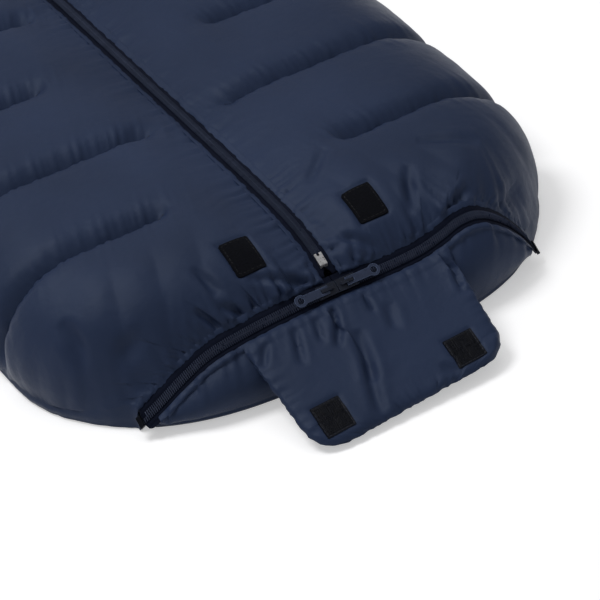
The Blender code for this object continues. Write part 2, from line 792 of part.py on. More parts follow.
def make_foot_panel():
    """Padded end wall with the lower tape and coil of the foot zip on it."""
    shares = [share * 2 - 1 for share in steps(ZIP_STATIONS)]
    columns = shares[1:-1]
    rows = steps(4)
    for layer, top, bottom in layer_depths(PANEL_WADDING):
        name = f"foot_panel_{layer}"
        sheet(name, panel_layer(top), panel_layer(bottom), columns, rows, LAYER_FINISH[layer])
    make_foot_row("foot_tape_lower", whole_zip_point, shares, -1, TAPE_ACROSS, TAPE_LEVELS, "black_tape")
    make_foot_row("foot_coil_lower", whole_zip_point, shares, -1, COIL_ACROSS, COIL_LEVELS, "coil")
    for side_name, sign in SIDES:
        make_end_stop(side_name, sign)


def make_end_stop(side_name, sign):
    """Metal stop crimped over the chain at one end of the foot zip."""
    end = zip_point(sign, 1)
    along = (end - zip_point(sign, 1 - END_STEP_SHARE)).normalized()
    across = COIL_ROW_WIDTH + PULL_BAR
    work = box((CLEARANCE, -across, TAPE_LEVELS[0]), (CLEARANCE + END_STOP_LENGTH, across, COIL_TOP))
    turned = Matrix((along, LANE_ACROSS, along.cross(LANE_ACROSS))).transposed()
    if turned.col[2].z < 0:
        turned.col[2] = -turned.col[2]
    for vertex in work.verts:
        vertex.co = end + along * vertex.co.x + LANE_ACROSS * vertex.co.y + turned.col[2] * vertex.co.z
    bmesh.ops.recalc_face_normals(work, faces=work.faces[:])
    mesh = bpy.data.meshes.new(f"foot_zip_stop_{side_name}")
    work.to_mesh(mesh)
    work.free()
    new_object(mesh.name, mesh, "steel")


# Foot flap


def flap_seam(x):
    """Upper face of the flap where it is sewn on below the foot zip."""
    share = clamp((x / ZIP_HALF_SPAN + 1) / 2) * 2 - 1
    sign = -1 if share < 0 else 1
    low, high = 0.0, 1.0
    for _ in range(HALVINGS):
        middle = (low + high) / 2
        low, high = (middle, high) if abs(zip_point(sign, middle).x) < abs(x) else (low, middle)
    column = sign * low
    top = panel_face(column, 0.0)
    height = min(FLAP_SEAM_HEIGHT, top.z)
    fall = (top.z - height + FLAP_THICKNESS) / (top.z - COVER_BASE)
    ahead = CLEARANCE + FLAP_THICKNESS * math.tan(FLAP_SLOPE)
    return Vector((x, panel_face(column, clamp(fall)).y - ahead, height))


def flap_face(u, v):
    """Upper face of the flap at rest: u runs across it, v from its seam to its free edge."""
    corner_start = 1 - FLAP_CORNER / FLAP_REACH_LEFT
    turn = clamp((v - corner_start) / (1 - corner_start))
    narrow = FLAP_CORNER * (1 - math.sqrt(max(0.0, 1 - turn * turn))) + FLAP_TAPER * v
    x = mix(-FLAP_LEFT + narrow, FLAP_RIGHT - narrow, u)
    seam = flap_seam(x)
    tip = Vector((x, -mix(FLAP_REACH_LEFT, FLAP_REACH_RIGHT, u), mix(FLAP_TIP_LEFT, FLAP_TIP_RIGHT, u)))
    return mix(seam, tip, v)


def flap_layer(depth):
    """Face of the flap at a depth below its upper face."""

    def at(u, v):
        line = (flap_face(u, 1.0) - flap_face(u, 0.0)).normalized()
        down = Vector((0, -line.z, line.y)).normalized()
        return flap_face(u, v) + down * depth

    return at


def make_foot_flap(parent):
    """Flap of nylon over thin wadding with a backing cloth and two hook patches."""
    columns = steps(12)
    inner = SHELL + CLEARANCE
    backing = inner + FLAP_WADDING + CLEARANCE
    layers = (
        ("flap_face", 0.0, SHELL, "navy_nylon"),
        ("flap_wadding", inner, inner + FLAP_WADDING, "wadding"),
        ("flap_backing", backing, backing + FLAP_BACKING, "navy_nylon"),
    )
    for name, top, bottom, finish in layers:
        sheet(name, flap_layer(top), flap_layer(bottom), columns, FLAP_ROW_SHARES, finish, parent)
    width = FLAP_LEFT + FLAP_RIGHT
    half_v = PATCH_LENGTH / 2 / FLAP_REACH_LEFT
    for side_name, sign in SIDES:
        middle = (sign * HOOK_X + FLAP_LEFT) / width
        half_u = PATCH_WIDTH / 2 / width
        patch_columns = [middle - half_u + 2 * half_u * share for share in steps(3)]
        patch_rows = [HOOK_SHARE - half_v + 2 * half_v * share for share in steps(3)]
        top, bottom = flap_layer(-CLEARANCE - PATCH_THICKNESS), flap_layer(-CLEARANCE)
        sheet(f"hook_patch_{side_name}", top, bottom, patch_columns, patch_rows, "hook_pile", parent)


# Sliders and pulls, modelled along x with the nose at +x


def slider_mesh():
    """Two plates joined by the post at the nose, with an arched bridge on top."""
    long, wide = SLIDER_LENGTH / 2, SLIDER_WIDTH / 2
    top = box((-long, -wide, PLATE_TOP - SLIDER_PLATE), (long, wide, PLATE_TOP))
    bottom = box((-long, -wide, PLATE_BOTTOM), (long, wide, PLATE_BOTTOM + SLIDER_PLATE))
    foot = PLATE_TOP - SLIDER_PLATE / 2
    post = rod(POST_RADIUS, Vector((long - POST_RADIUS * 2, 0, 0)), PLATE_BOTTOM + SLIDER_PLATE / 2, foot, 10)
    outer, inner = BRIDGE_LENGTH / 2, BRIDGE_LENGTH / 2 - BRIDGE_LEG
    crown = PLATE_TOP + BRIDGE_HEIGHT
    under = crown - BRIDGE_BAR
    arch = [(-outer, foot), (-outer, under), (-inner, crown), (inner, crown), (outer, under), (outer, foot)]
    arch += [(inner, foot), (inner, under), (-inner, under), (-inner, foot)]
    bridge = prism(arch, -BRIDGE_WIDTH / 2, BRIDGE_WIDTH / 2)
    return combined("slider", top, [bottom, post, bridge], [])


def pull_mesh():
    """Flat tab about its bar at the origin: a slot for the bridge and a ring at its free end."""
    half_thick, half = PULL_THICKNESS / 2, PULL_WIDTH / 2
    ring_x = -(PULL_LENGTH - PULL_RING / 2 - PULL_BAR / 2)
    plate = box((ring_x, -half, -half_thick), (PULL_BAR / 2, half, half_thick))
    ring = rod(PULL_RING / 2, Vector((ring_x, 0, 0)), -half_thick, half_thick, 24)
    over = PULL_THICKNESS
    hole = rod(PULL_HOLE / 2, Vector((ring_x, 0, 0)), -over, over, 18)
    slot_half = BRIDGE_WIDTH / 2 + PULL_PLAY
    slot = box((-PULL_BAR / 2 - PULL_SLOT, -slot_half, -over), (-PULL_BAR / 2, slot_half, over))
    return combined("pull", plate, [ring], [hole, slot])


def slider_frame(place, nose, out):
    """Place of a slider whose nose and outer side point two given ways."""
    across = out.cross(nose)
    turned = Matrix((nose, across, out)).transposed().to_4x4()
    return Matrix.Translation(place) @ turned


def put(name, mesh, finish, matrix, parent):
    """Copy of a shared mesh at a place, carried by its parent."""
    made = new_object(name, mesh, finish)
    made.matrix_world = matrix
    bpy.context.view_layer.update()
    placed = made.matrix_world.copy()
    made.parent = parent
    made.matrix_parent_inverse = parent.matrix_world.inverted()
    made.matrix_world = placed
    return made


def circle_middle(first, second, third):
    """Middle of the circle through three points in x and z."""
    ax, az, bx, bz, cx, cz = first.x, first.z, second.x, second.z, third.x, third.z
    twice = 2 * (ax * (bz - cz) + bx * (cz - az) + cx * (az - bz))
    a, b, c = ax * ax + az * az, bx * bx + bz * bz, cx * cx + cz * cz
    x = (a * (bz - cz) + b * (cz - az) + c * (az - bz)) / twice
    z = (a * (cx - bx) + b * (ax - cx) + c * (bx - ax)) / twice
    return Vector((x, 0, z))


def foot_slider_places(sign):
    """Rest place of a foot slider, the end of its travel, and the middle of the arc between them.

    The right arc presses the zip's raised shoulder down a little, as the slider does in soft cloth.
    """
    rest = (SLIDER_LENGTH / 2 + CLEARANCE, 0.0)
    if sign < 0:
        marks = (rest, (FOOT_SLIDER_LEFT_MIDDLE, 0.0), (FOOT_SLIDER_LEFT_END, 0.0))
    else:
        marks = (rest, (FOOT_SLIDER_RIGHT_MIDDLE, FOOT_SLIDER_RIGHT_SINK), (FOOT_SLIDER_RIGHT_END, 0.0))
    places = [Vector((sign * x, 0, zip_height(sign * x) - sink)) for x, sink in marks]
    return places[0], places[2], circle_middle(*places)


def make_sliders(centre_parent):
    """The two foot sliders, the centre slider, and their pulls."""
    slider, pull = slider_mesh(), pull_mesh()
    bar = Vector((0, 0, GAP_MIDDLE))
    for side_name, sign in SIDES:
        rest, _, middle = foot_slider_places(sign)
        frame = slider_frame(rest, Vector((-sign, 0, 0)), LANE_OUT)
        arc = pivot(f"foot_slider_{side_name}_arc", middle)
        put(f"foot_slider_{side_name}", slider.copy(), "enamel", frame, arc)
        swing = pivot(f"foot_pull_{side_name}_swing", frame @ bar, arc)
        put(f"foot_pull_{side_name}", pull.copy(), "enamel", frame @ Matrix.Translation(bar), swing)
    y = COVER_LENGTH - CENTRE_SLIDER_DROP
    frame = slider_frame(Vector((0, y, centre_height(y))), Vector((0, 1, 0)), Vector((0, 0, 1)))
    run = pivot("centre_slider_run", frame.translation, centre_parent)
    put("centre_slider", slider, "enamel", frame, run)
    swing = pivot("centre_pull_swing", frame @ bar, run)
    put("centre_pull", pull, "enamel", frame @ Matrix.Translation(bar), swing)


def main():
    for old in list(bpy.data.objects):
        bpy.data.objects.remove(old)
    make_back()
    make_foot_panel()
    hinges = {}
    for side_name, sign in SIDES:
        place = Vector((sign * (BODY_HALF_WIDTH + SIDE_HINGE_OUTSET), 0, SIDE_HINGE_HEIGHT))
        hinges[side_name] = pivot(f"cover_{side_name}_hinge", place)
        make_cover(side_name, sign, hinges[side_name])
    make_bottom_stop(hinges["left"])
    make_foot_flap(pivot("foot_flap_hinge", Vector((0, -FLAP_HINGE_Y, FLAP_HINGE_HEIGHT))))
    make_sliders(hinges["right"])


main()
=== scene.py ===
"""Looks of a stroller footmuff: quilted nylon over padding, fleece lining, coil zips and hook patches.

Metres, +Z up, +Y to the head end. The soft pieces repeat the solids' sizes and are made finer:
the nylon is a grid of cloth that settles over its padding, with spare cloth gathered at the seams.
"""

import json
import math

import bmesh
import bpy
import numpy as np
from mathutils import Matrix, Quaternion, Vector


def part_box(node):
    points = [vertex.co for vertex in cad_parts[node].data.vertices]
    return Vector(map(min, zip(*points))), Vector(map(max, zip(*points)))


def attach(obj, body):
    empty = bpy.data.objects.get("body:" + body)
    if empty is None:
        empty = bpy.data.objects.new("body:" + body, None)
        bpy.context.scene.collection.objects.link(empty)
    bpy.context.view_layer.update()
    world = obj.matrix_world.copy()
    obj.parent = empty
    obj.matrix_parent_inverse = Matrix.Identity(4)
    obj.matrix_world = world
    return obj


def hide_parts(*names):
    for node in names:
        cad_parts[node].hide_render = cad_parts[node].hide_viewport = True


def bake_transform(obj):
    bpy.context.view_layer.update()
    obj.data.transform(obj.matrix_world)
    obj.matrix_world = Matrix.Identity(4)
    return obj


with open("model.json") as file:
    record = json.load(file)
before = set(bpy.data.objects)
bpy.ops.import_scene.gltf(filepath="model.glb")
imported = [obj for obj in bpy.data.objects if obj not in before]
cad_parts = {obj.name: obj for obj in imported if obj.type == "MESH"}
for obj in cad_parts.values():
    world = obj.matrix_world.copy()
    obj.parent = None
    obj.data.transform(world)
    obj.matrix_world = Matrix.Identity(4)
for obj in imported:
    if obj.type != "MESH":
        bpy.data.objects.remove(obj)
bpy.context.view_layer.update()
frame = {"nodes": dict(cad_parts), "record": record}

MM = 0.001
SIDES = (("left", -1), ("right", 1))

# Sizes of the solids
CLEARANCE = 0.3 * MM
SHELL = 1.0 * MM
LINING = 1.2 * MM
BACK_WADDING = 13.0 * MM
COVER_WADDING = 10.0 * MM
PANEL_WADDING = 7.0 * MM
BODY_HALF_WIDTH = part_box("back_shell")[1].x
BACK_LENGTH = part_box("back_shell")[1].y
COVER_LENGTH = 620 * MM
COVER_HEIGHT = 96 * MM
FOOT_HALF_WIDTH = 174 * MM
WIDENING_LENGTH = 110 * MM
WIDENING_POWER = 2.2
FOOT_REACH = 25 * MM
FOOT_SETBACK = 13 * MM
FOOT_POWER = 3.5
HEAD_ROUNDING = 110 * MM
SEAM_EDGE = 14 * MM
SEAM_ROLL = 46 * MM
SEAM_PAD = 3.2 * MM
SLOT_BINDING = 6 * MM
SHOULDER_RADIUS = 75 * MM
SHOULDER_SHARE = 0.52
UNDERCUT_ANGLE = math.radians(25)
PUFF_LENGTH = 30 * MM
VALLEY_DEPTH = 9 * MM
VALLEY_START_SHARE = 0.62
QUILT_FIRST = 120 * MM
QUILT_PITCH = 107 * MM
QUILT_DEPTH = 7 * MM
QUILT_HALF_WIDTH = 16 * MM
QUILT_ENDS = (68 * MM, 24 * MM)
QUILT_START_SHARE = 0.155
ZIP_HEIGHT = 55 * MM
ZIP_END_HEIGHT = 14 * MM
ZIP_HALF_SPAN = 170 * MM
LANE_HALF_WIDTH = 11 * MM
LANE_TILT = math.radians(35)
LANE_DEPTH = 3 * MM
# Each end's zip: shares of the half span and of the height
ZIP_SHARES = {
    -1: ((0.00, 1.00), (0.22, 0.96), (0.44, 0.90), (0.65, 0.76), (0.80, 0.47), (0.91, 0.20), (1.00, 0.00)),
    1: (
        (0.00, 1.00), (0.22, 0.97), (0.42, 1.00), (0.54, 1.12), (0.64, 1.26), (0.74, 1.22),
        (0.86, 0.85), (0.95, 0.38), (1.00, 0.00),
    ),
}
TAPE_THICKNESS = 0.7 * MM
COIL_ROW_WIDTH = 3.5 * MM
COIL_HEIGHT = 2.1 * MM
COIL_PITCH = 1.7 * MM
POST_RADIUS = 1.1 * MM
SLIDER_LENGTH = 16 * MM
STOP_START = 15 * MM
STOP_LENGTH = 9 * MM
END_STOP_LENGTH = 4 * MM
CENTRE_SLIDER_Y = COVER_LENGTH - 18 * MM
PANEL_BULGE = 8 * MM
FLAP_LEFT = 86 * MM
FLAP_RIGHT = 92 * MM
FLAP_SEAM_HEIGHT = 50 * MM
FLAP_REACH = (107 * MM, 100 * MM)
FLAP_TIP = (7 * MM, 14 * MM)
FLAP_CORNER = 24 * MM
FLAP_TAPER = 5 * MM
FLAP_SLOPE = math.radians(24)
FLAP_THICKNESS = 4.9 * MM
PATCH_WIDTH = 25 * MM
PATCH_LENGTH = 30 * MM
PATCH_THICKNESS = 1.8 * MM
LOOP_X = 53 * MM
LOOP_Y = 42 * MM
HOOK_X = 58 * MM
HOOK_SHARE = 0.78

SEAM_LEVEL = SHELL + SEAM_PAD + LINING + 2 * CLEARANCE
BACK_THICKNESS = SHELL + BACK_WADDING + LINING + 2 * CLEARANCE
COVER_BASE = SEAM_LEVEL + CLEARANCE
COVER_WALL = SHELL + COVER_WADDING + 2 * CLEARANCE
PANEL_WALL = SHELL + PANEL_WADDING + 2 * CLEARANCE
LANE_ACROSS = np.array((0.0, math.cos(LANE_TILT), math.sin(LANE_TILT)))
LANE_OUT = np.array((0.0, -math.sin(LANE_TILT), math.cos(LANE_TILT)))
FOOT_ROW_Y = LANE_ACROSS[1] * LANE_HALF_WIDTH + CLEARANCE
COIL_BASE = TAPE_THICKNESS / 2 + CLEARANCE

# Cloth
FACE_LENGTH = 293 * MM                # round a cover from its side seam to the centre zip
CLOTH_STEP = 1.9 * MM
FAR_STEP = 3.4 * MM
MAT_STEP = 4 * MM
NEAR_LENGTH = 160 * MM
TUCK_COUNT = 4
TUCK_HALF_WIDTH = 6.2 * MM            # from the middle of a zip to the tucked edge of the cloth
TUCK_LEVEL = TAPE_THICKNESS / 2 + 0.25 * MM
TUCK_SWELL = 0.5 * MM
LIFT_REACH = 9                        # neighbours over which a lift of the cloth fades out
LIFT_KEPT = 0.78                      # share of a lift that each next neighbour keeps
TAPE_STEP = 1.5 * MM
TAPE_COLUMNS = 19
TAPE_END_LENGTH = 6.5 * MM
WELT_MIDDLE = 5.9 * MM
WELT_HALF_WIDTH = 1.4 * MM
WELT_HEIGHTS = {"lower": 0.8 * MM, "upper": 0.2 * MM, "centre": 0.35 * MM}
TOOTH_OVERLAP = 0.25 * MM
COVER_SWELL = 3.4 * MM
PATCH_LIFT = 1.8 * MM
PANEL_SWELL = 4 * MM
PANEL_FLARE = 4.5 * MM
# The panel's cloth above its seam: how far below the zip across its lane, and how far out of the lane
PANEL_ROLL = (
    (TUCK_HALF_WIDTH, TUCK_LEVEL), (9.6 * MM, 1.5 * MM), (10.8 * MM, 2.0 * MM), (12.0 * MM, 1.3 * MM),
)
# The flap's cloth where it starts on the tape, and the crest over which it falls, in the same way
ROOT_EDGE = (TUCK_HALF_WIDTH + 1.4 * MM, TUCK_LEVEL + 0.4 * MM)
ROOT_CREST = (12.5 * MM, 2.6 * MM)
SKIRT_COUNT = 5
SKIRT_BOW = 1.4 * MM
SKIRT_FLARE = 3.5 * MM
SKIRT_GAP = 1.3 * MM
SKIRT_GROUND = 1.0 * MM
SKIRT_THICKNESS = 0.8 * MM
LEAST_HEIGHT = 1.5 * MM
FLEECE_INSET = 12 * MM
CREASE_DEPTH = 3.6 * MM
CREASE_HALF_WIDTH = 5 * MM
STITCH_SETBACK = 6 * MM
FLAP_COLUMNS = 89
CORNER_ROWS = 13
PANEL_COLUMNS = 161
PANEL_ENDS = 5                        # columns left out at each end of the foot panel
PANEL_ROWS = 22
HEAD_COLUMNS = 141
FLAP_SWELL = 1.6 * MM
ROOT_COUNT = 8
LOOP_ROUGHNESS = 0.13 * MM
HOOK_ROUGHNESS = 0.09 * MM
HOOK_GROUND = 0.7 * MM                # height of the bare border round the hooks
HOOK_BORDER = 1.8 * MM
HOOK_HEIGHT = 0.9 * MM
HOOK_PITCH = 1.7 * MM
COVER_ROUNDS = 320                    # steps in which cloth settles over its padding
PANEL_ROUNDS = 260
FLAP_ROUNDS = 220
FLAP_OUT = np.array((0.0, -0.3, 1.0))
FLAP_FOLD_SHARE = 1.3
COVER_CREASE_SHARE = 1.5
# Soft folds of the flap, in mm: both ends in plan, width and depth
FLAP_FOLDS = (
    (-45, -14, -55, -42, 4.5, 2.0), (-27, -14, -33, -33, 4.0, 1.8), (-11, -13, -17, -30, 4.0, 2.8),
    (-14, -24, -25, -42, 4.0, 2.4), (-5, -36, -15, -76, 6.5, 2.8), (-12, -60, -28, -104, 6.0, 2.2),
    (15, -12, 14, -29, 4.0, 1.8), (28, -26, 21, -48, 6.0, 1.4), (84, -13, 87, -26, 3.0, 2.2),
    (87, -19, 81, -44, 3.5, 2.2), (-12, -99, -18, -107, 3.0, 1.6), (34, -87, 48, -98, 4.5, 1.8),
    (-69, -14, -80, -30, 4.0, 1.8),
)
# Long creases of each cover, in mm: both ends in plan, width and depth
CREASES = {
    -1: (
        (-64, 28, -33, 15, 3.5, 2.2), (-40, 17, -10, 5, 3.5, 2.6), (-36, 21, -17, 10, 3.0, 1.8),
        (-91, 47, -83, 22, 5.5, 2.0), (-105, 21, -92, 7, 3.5, 2.2), (-87, 18, -68, 5, 3.5, 2.4),
        (-62, 16, -63, 4, 3.0, 2.0), (-192, 68, -186, 43, 6.0, 2.0), (-168, 31, -145, 26, 6.0, 1.6),
    ),
    1: (
        (20, 30, 44, 10, 4.0, 2.0), (80, 20, 100, 55, 6.0, 2.0), (98, 4, 130, 16, 5.0, 2.6),
        (120, 75, 160, 50, 7.0, 1.8), (30, 85, 60, 110, 6.0, 1.4), (150, 10, 178, 28, 4.5, 1.8),
    ),
}

# Light and camera
FLOOR_SIZE = 6.0
FLOOR_GLOW = 0.42
WORLD_STRENGTH = 0.32
LAMP_TARGET = (0.0, 0.15, 0.05)
# Name, place, size and power of each lamp
LAMPS = (("key", (-0.75, 0.65, 2.0), 0.9, 22), ("top", (0.2, 0.7, 2.6), 1.8, 8))
CAMERA_AZIMUTH = math.radians(-24.6)
CAMERA_ELEVATION = math.radians(36.6)
CAMERA_ROLL = math.radians(-8.5)
CAMERA_DISTANCE = 2.5
CAMERA_LENS = 202
SENSOR_WIDTH = 36
IMAGE_SIZE = 600
ZIP_MIDDLE_PIXEL = (336, 288)


def ease(share):
    """Smooth step from 0 to 1."""
    share = np.clip(share, 0, 1)
    return share * share * (3 - 2 * share)


def mix(first, second, share):
    return first + (second - first) * share


def points(x, y, z):
    """Array of points from arrays of coordinates."""
    return np.stack(np.broadcast_arrays(x, y, z), -1).astype(float)


def unit(vectors):
    return vectors / np.maximum(np.linalg.norm(vectors, axis=-1, keepdims=True), 1e-12)


def walked(path):
    """Distance along a path to each of its points."""
    return np.append(0, np.cumsum(np.linalg.norm(np.diff(path, axis=0), axis=-1)))


def spread(marks, step):
    """Values through every mark, no further apart than a step: step may be a function of the place."""
    values = [marks[0]]
    for low, high in zip(marks, marks[1:]):
        size = step((low + high) / 2) if callable(step) else step
        count = max(1, round((high - low) / size))
        values += [low + (high - low) * (index + 1) / count for index in range(count)]
    return np.array(values)


def near(gap, reach):
    """Share that fades with the distance from a seam, over a reach in mm."""
    return np.exp(-np.maximum(gap, 0) / (reach * MM))


def ripple(along, lengths, seed):
    """Uneven wave between -1 and 1 along a seam, from a few wavelengths in mm with shifted phases."""
    shift = np.random.default_rng(seed).uniform(0, 2 * math.pi, len(lengths))
    waves = [np.sin(2 * math.pi * along / (length * MM) + phase) for length, phase in zip(lengths, shift)]
    return sum(waves) / len(lengths)


def gathers(along, lengths, seed):
    """Gathered cloth along a seam: round folds with narrow valleys between them."""
    return 1.6 * np.abs(ripple(along, lengths, seed)) ** 0.8 - 0.6


def gathered(waves, shift=0):
    """Cloth gathered at seams: rows of the place along one, wavelengths, seed, fade and height in mm."""
    return MM * sum(
        gathers(along, lengths, seed + shift) * fade * height for along, lengths, seed, fade, height in waves
    )


def spare(*seams):
    """Share of spare cloth beside seams: rows of the distance from one, the share and its reach in mm."""
    return sum(share * near(gap, reach) for gap, share, reach in seams)


def away(*seams):
    """Share that grows with the distance from seams: rows of the distance from one and its reach in mm."""
    return math.prod(1 - near(gap, reach) for gap, reach in seams)


def creased(place, creases, depth_share):
    """Narrow valleys with raised lips, shallow at their ends, from a table of creases in mm."""
    height = np.zeros(place.shape[:-1])
    for *ends, width, depth in creases:
        start, end = np.array(ends[:2]) * MM, np.array(ends[2:]) * MM
        line = end - start
        share = ((place[..., :2] - start) @ line) / (line @ line)
        aside = place[..., :2] - start - np.clip(share, 0, 1)[..., None] * line
        away = np.linalg.norm(aside, axis=-1) / (width * MM)
        along = np.sin(math.pi * np.clip(share, 0, 1)) ** 0.5 * (share > 0) * (share < 1)
        height -= depth * depth_share * MM * along * (1 - 1.2 * away**2) * np.exp(-(away**2))
    return height


# Shapes of the solids


def half_width(y):
    share = np.clip(y / WIDENING_LENGTH, 0, 1)
    return FOOT_HALF_WIDTH + (BODY_HALF_WIDTH - FOOT_HALF_WIDTH) * (1 - (1 - share) ** WIDENING_POWER)


def foot_outline(u):
    return -FOOT_REACH + (FOOT_REACH + FOOT_SETBACK) * np.abs(u) ** FOOT_POWER


def head_outline(u):
    return BACK_LENGTH - HEAD_ROUNDING * (1 - np.sqrt(np.maximum(0, 1 - u * u)))


def mat_plan(u, y):
    """Place in plan of a point of the mat, and its distances inside the mat's edges."""
    front_share = np.clip(1 - y / WIDENING_LENGTH, 0, 1)
    bend_start = BACK_LENGTH - 2 * HEAD_ROUNDING
    head_share = np.clip((y - bend_start) / (BACK_LENGTH - bend_start), 0, 1)
    place_y = y + foot_outline(u) * front_share + (head_outline(u) - BACK_LENGTH) * head_share
    x = u * half_width(y)
    return x, place_y, (half_width(y) - np.abs(x), place_y - foot_outline(u), head_outline(u) - place_y)


def mat_top(insides):
    """Height of the mat's upper face: thin at its seams and full inside them."""
    height = 1.0
    for inside in insides:
        height = height * ease((inside - SEAM_EDGE) / SEAM_ROLL)
    return mix(SEAM_LEVEL, BACK_THICKNESS, height)


def zip_table(sign):
    """Distance from the middle, height and length of zip, in fine steps to one end of the foot zip."""
    knots = np.array(ZIP_SHARES[sign])
    slopes = np.zeros(len(knots))
    slopes[1:-1] = (knots[2:, 1] - knots[:-2, 1]) / (knots[2:, 0] - knots[:-2, 0])
    slopes[-1] = (knots[-1, 1] - knots[-2, 1]) / (knots[-1, 0] - knots[-2, 0])
    reach = np.linspace(0, 1, 400)
    index = np.clip(np.searchsorted(knots[:, 0], reach, side="right") - 1, 0, len(knots) - 2)
    width = knots[index + 1, 0] - knots[index, 0]
    t = (reach - knots[index, 0]) / width
    rise = knots[index, 1] * (1 + 2 * t) * (1 - t) ** 2 + slopes[index] * width * t * (1 - t) ** 2
    rise += knots[index + 1, 1] * t * t * (3 - 2 * t) + slopes[index + 1] * width * t * t * (t - 1)
    x, z = reach * ZIP_HALF_SPAN, mix(ZIP_END_HEIGHT, ZIP_HEIGHT, rise)
    return x, z, walked(np.stack([x, z], -1))


ZIP_TABLES = {sign: zip_table(sign) for _, sign in SIDES}
ZIP_LENGTHS = {sign: table[2][-1] for sign, table in ZIP_TABLES.items()}


def zip_point(sign, share, start=0.0):
    """Points on the foot zip: share 0 lies at the start distance from the middle, 1 at the end."""
    xs, zs, lengths = ZIP_TABLES[sign]
    skipped = np.interp(start, xs, lengths)
    x = np.interp(mix(skipped, lengths[-1], np.clip(share, 0, 1)), lengths, xs)
    return points(sign * x, 0 * x, np.interp(x, xs, zs))


def whole_zip_point(share):
    """Points on the foot zip: share runs from -1 at its left end to 1 at its right end."""
    share = np.asarray(share, float)
    return np.where((share < 0)[..., None], zip_point(-1, -share), zip_point(1, share))


def zip_share(x):
    """Shares along the foot zip at distances to the right of its middle."""
    shares = np.linspace(-1, 1, 801)
    return np.interp(x, whole_zip_point(shares)[:, 0], shares)


def off_lane(place, below, out):
    """Points below the foot zip across its tilted lane, and out of the lane."""
    return place - LANE_ACROSS * below + LANE_OUT * out


def parting(distance):
    """How far the two rows of coil stand apart beside a slider's post."""
    apart = ease(1 - (np.abs(distance) - SLIDER_LENGTH / 2) / SLIDER_LENGTH)
    return mix(CLEARANCE / 2, POST_RADIUS + CLEARANCE, apart)


def quilt_lines():
    """Distance from the foot zip of each stitched line, and how near the centre zip it ends."""
    count = int((COVER_LENGTH - QUILT_FIRST) / QUILT_PITCH) + 1
    return [(QUILT_FIRST + QUILT_PITCH * index, QUILT_ENDS[index % 2]) for index in range(count)]


def quilted(point, u, y, width, depth):
    """A cover's face drawn in along its stitched lines."""
    middle = points(np.sign(point[..., 0]) * half_width(y) / 2, y, COVER_BASE)
    for line, end in quilt_lines():
        drawn = ease(1 - np.abs(y - line) / width)
        reach = ease((np.abs(point[..., 0]) - end) / QUILT_HALF_WIDTH)
        rolled = ease(u / QUILT_START_SHARE)
        point = point + unit(middle - point) * (depth * drawn * reach * rolled)[..., None]
    return point


def cover_face(side, u, y):
    """Outer face of a cover: u is 0 at the side seam and 1 at the centre zip's lane."""
    rise = (COVER_HEIGHT - COVER_BASE) / (1 + math.sin(UNDERCUT_ANGLE))
    middle_x = half_width(y) - SHOULDER_RADIUS * math.cos(UNDERCUT_ANGLE)
    angle = mix(-UNDERCUT_ANGLE, math.pi / 2, np.clip(u / SHOULDER_SHARE, 0, 1))
    flat = np.clip((u - SHOULDER_SHARE) / (1 - SHOULDER_SHARE), 0, 1)
    valley = ease((flat - VALLEY_START_SHARE) / (1 - VALLEY_START_SHARE))
    round_x = middle_x + SHOULDER_RADIUS * np.cos(angle)
    round_z = COVER_BASE + rise * (math.sin(UNDERCUT_ANGLE) + np.sin(angle))
    on_shoulder = u < SHOULDER_SHARE
    x = np.where(on_shoulder, round_x, mix(middle_x, LANE_HALF_WIDTH, flat))
    z = np.where(on_shoulder, round_z, COVER_HEIGHT - VALLEY_DEPTH * valley)
    puff = 1 - np.exp(-(y - FOOT_ROW_Y) / PUFF_LENGTH)
    foot = off_lane(zip_point(side, 1 - u, LANE_HALF_WIDTH), -LANE_HALF_WIDTH, LANE_DEPTH)
    point = points(mix(foot[..., 0], side * x, puff), y, mix(foot[..., 2], z, puff))
    return quilted(point, u, y, QUILT_HALF_WIDTH, QUILT_DEPTH)


def centre_height(y):
    """Height of the centre zip's tape."""
    return (cover_face(1, 1.0, y)[..., 2] + cover_face(-1, 1.0, y)[..., 2]) / 2 - LANE_DEPTH


def panel_face(share, fall):
    """Outer face of the foot panel: fall runs from the zip, 0, down to the mat, 1."""
    place = whole_zip_point(share)
    top = off_lane(place, LANE_HALF_WIDTH, -(TAPE_THICKNESS / 2 + CLEARANCE))
    bottom = points(place[..., 0], foot_outline(place[..., 0] / FOOT_HALF_WIDTH), COVER_BASE)
    point = mix(top, bottom, np.asarray(fall)[..., None])
    tall = np.clip((top[..., 2] - bottom[..., 2]) / ZIP_HEIGHT * 2, 0, 1)
    point[..., 1] -= PANEL_BULGE * np.sin(math.pi * np.asarray(fall)) * tall
    return point


def flap_seam(x):
    """Upper face of the flap where it is sewn on below the foot zip."""
    column = zip_share(x)
    top = panel_face(column, np.zeros_like(column))[..., 2]
    height = np.minimum(FLAP_SEAM_HEIGHT, top)
    fall = np.clip((top - height + FLAP_THICKNESS) / (top - COVER_BASE), 0, 1)
    ahead = CLEARANCE + FLAP_THICKNESS * math.tan(FLAP_SLOPE)
    return points(x, panel_face(column, fall)[..., 1] - ahead, height)


def flap_face(u, v):
    """Upper face of the flap: u runs across it, v from its seam to its free edge."""
    corner_start = 1 - FLAP_CORNER / FLAP_REACH[0]
    turn = np.clip((v - corner_start) / (1 - corner_start), 0, 1)
    narrow = FLAP_CORNER * (1 - np.sqrt(np.maximum(0, 1 - turn * turn))) + FLAP_TAPER * v
    x = mix(-FLAP_LEFT + narrow, FLAP_RIGHT - narrow, u)
    return mix(flap_seam(x), points(x, -mix(*FLAP_REACH, u), mix(*FLAP_TIP, u)), np.asarray(v)[..., None])


# Cloth over padding


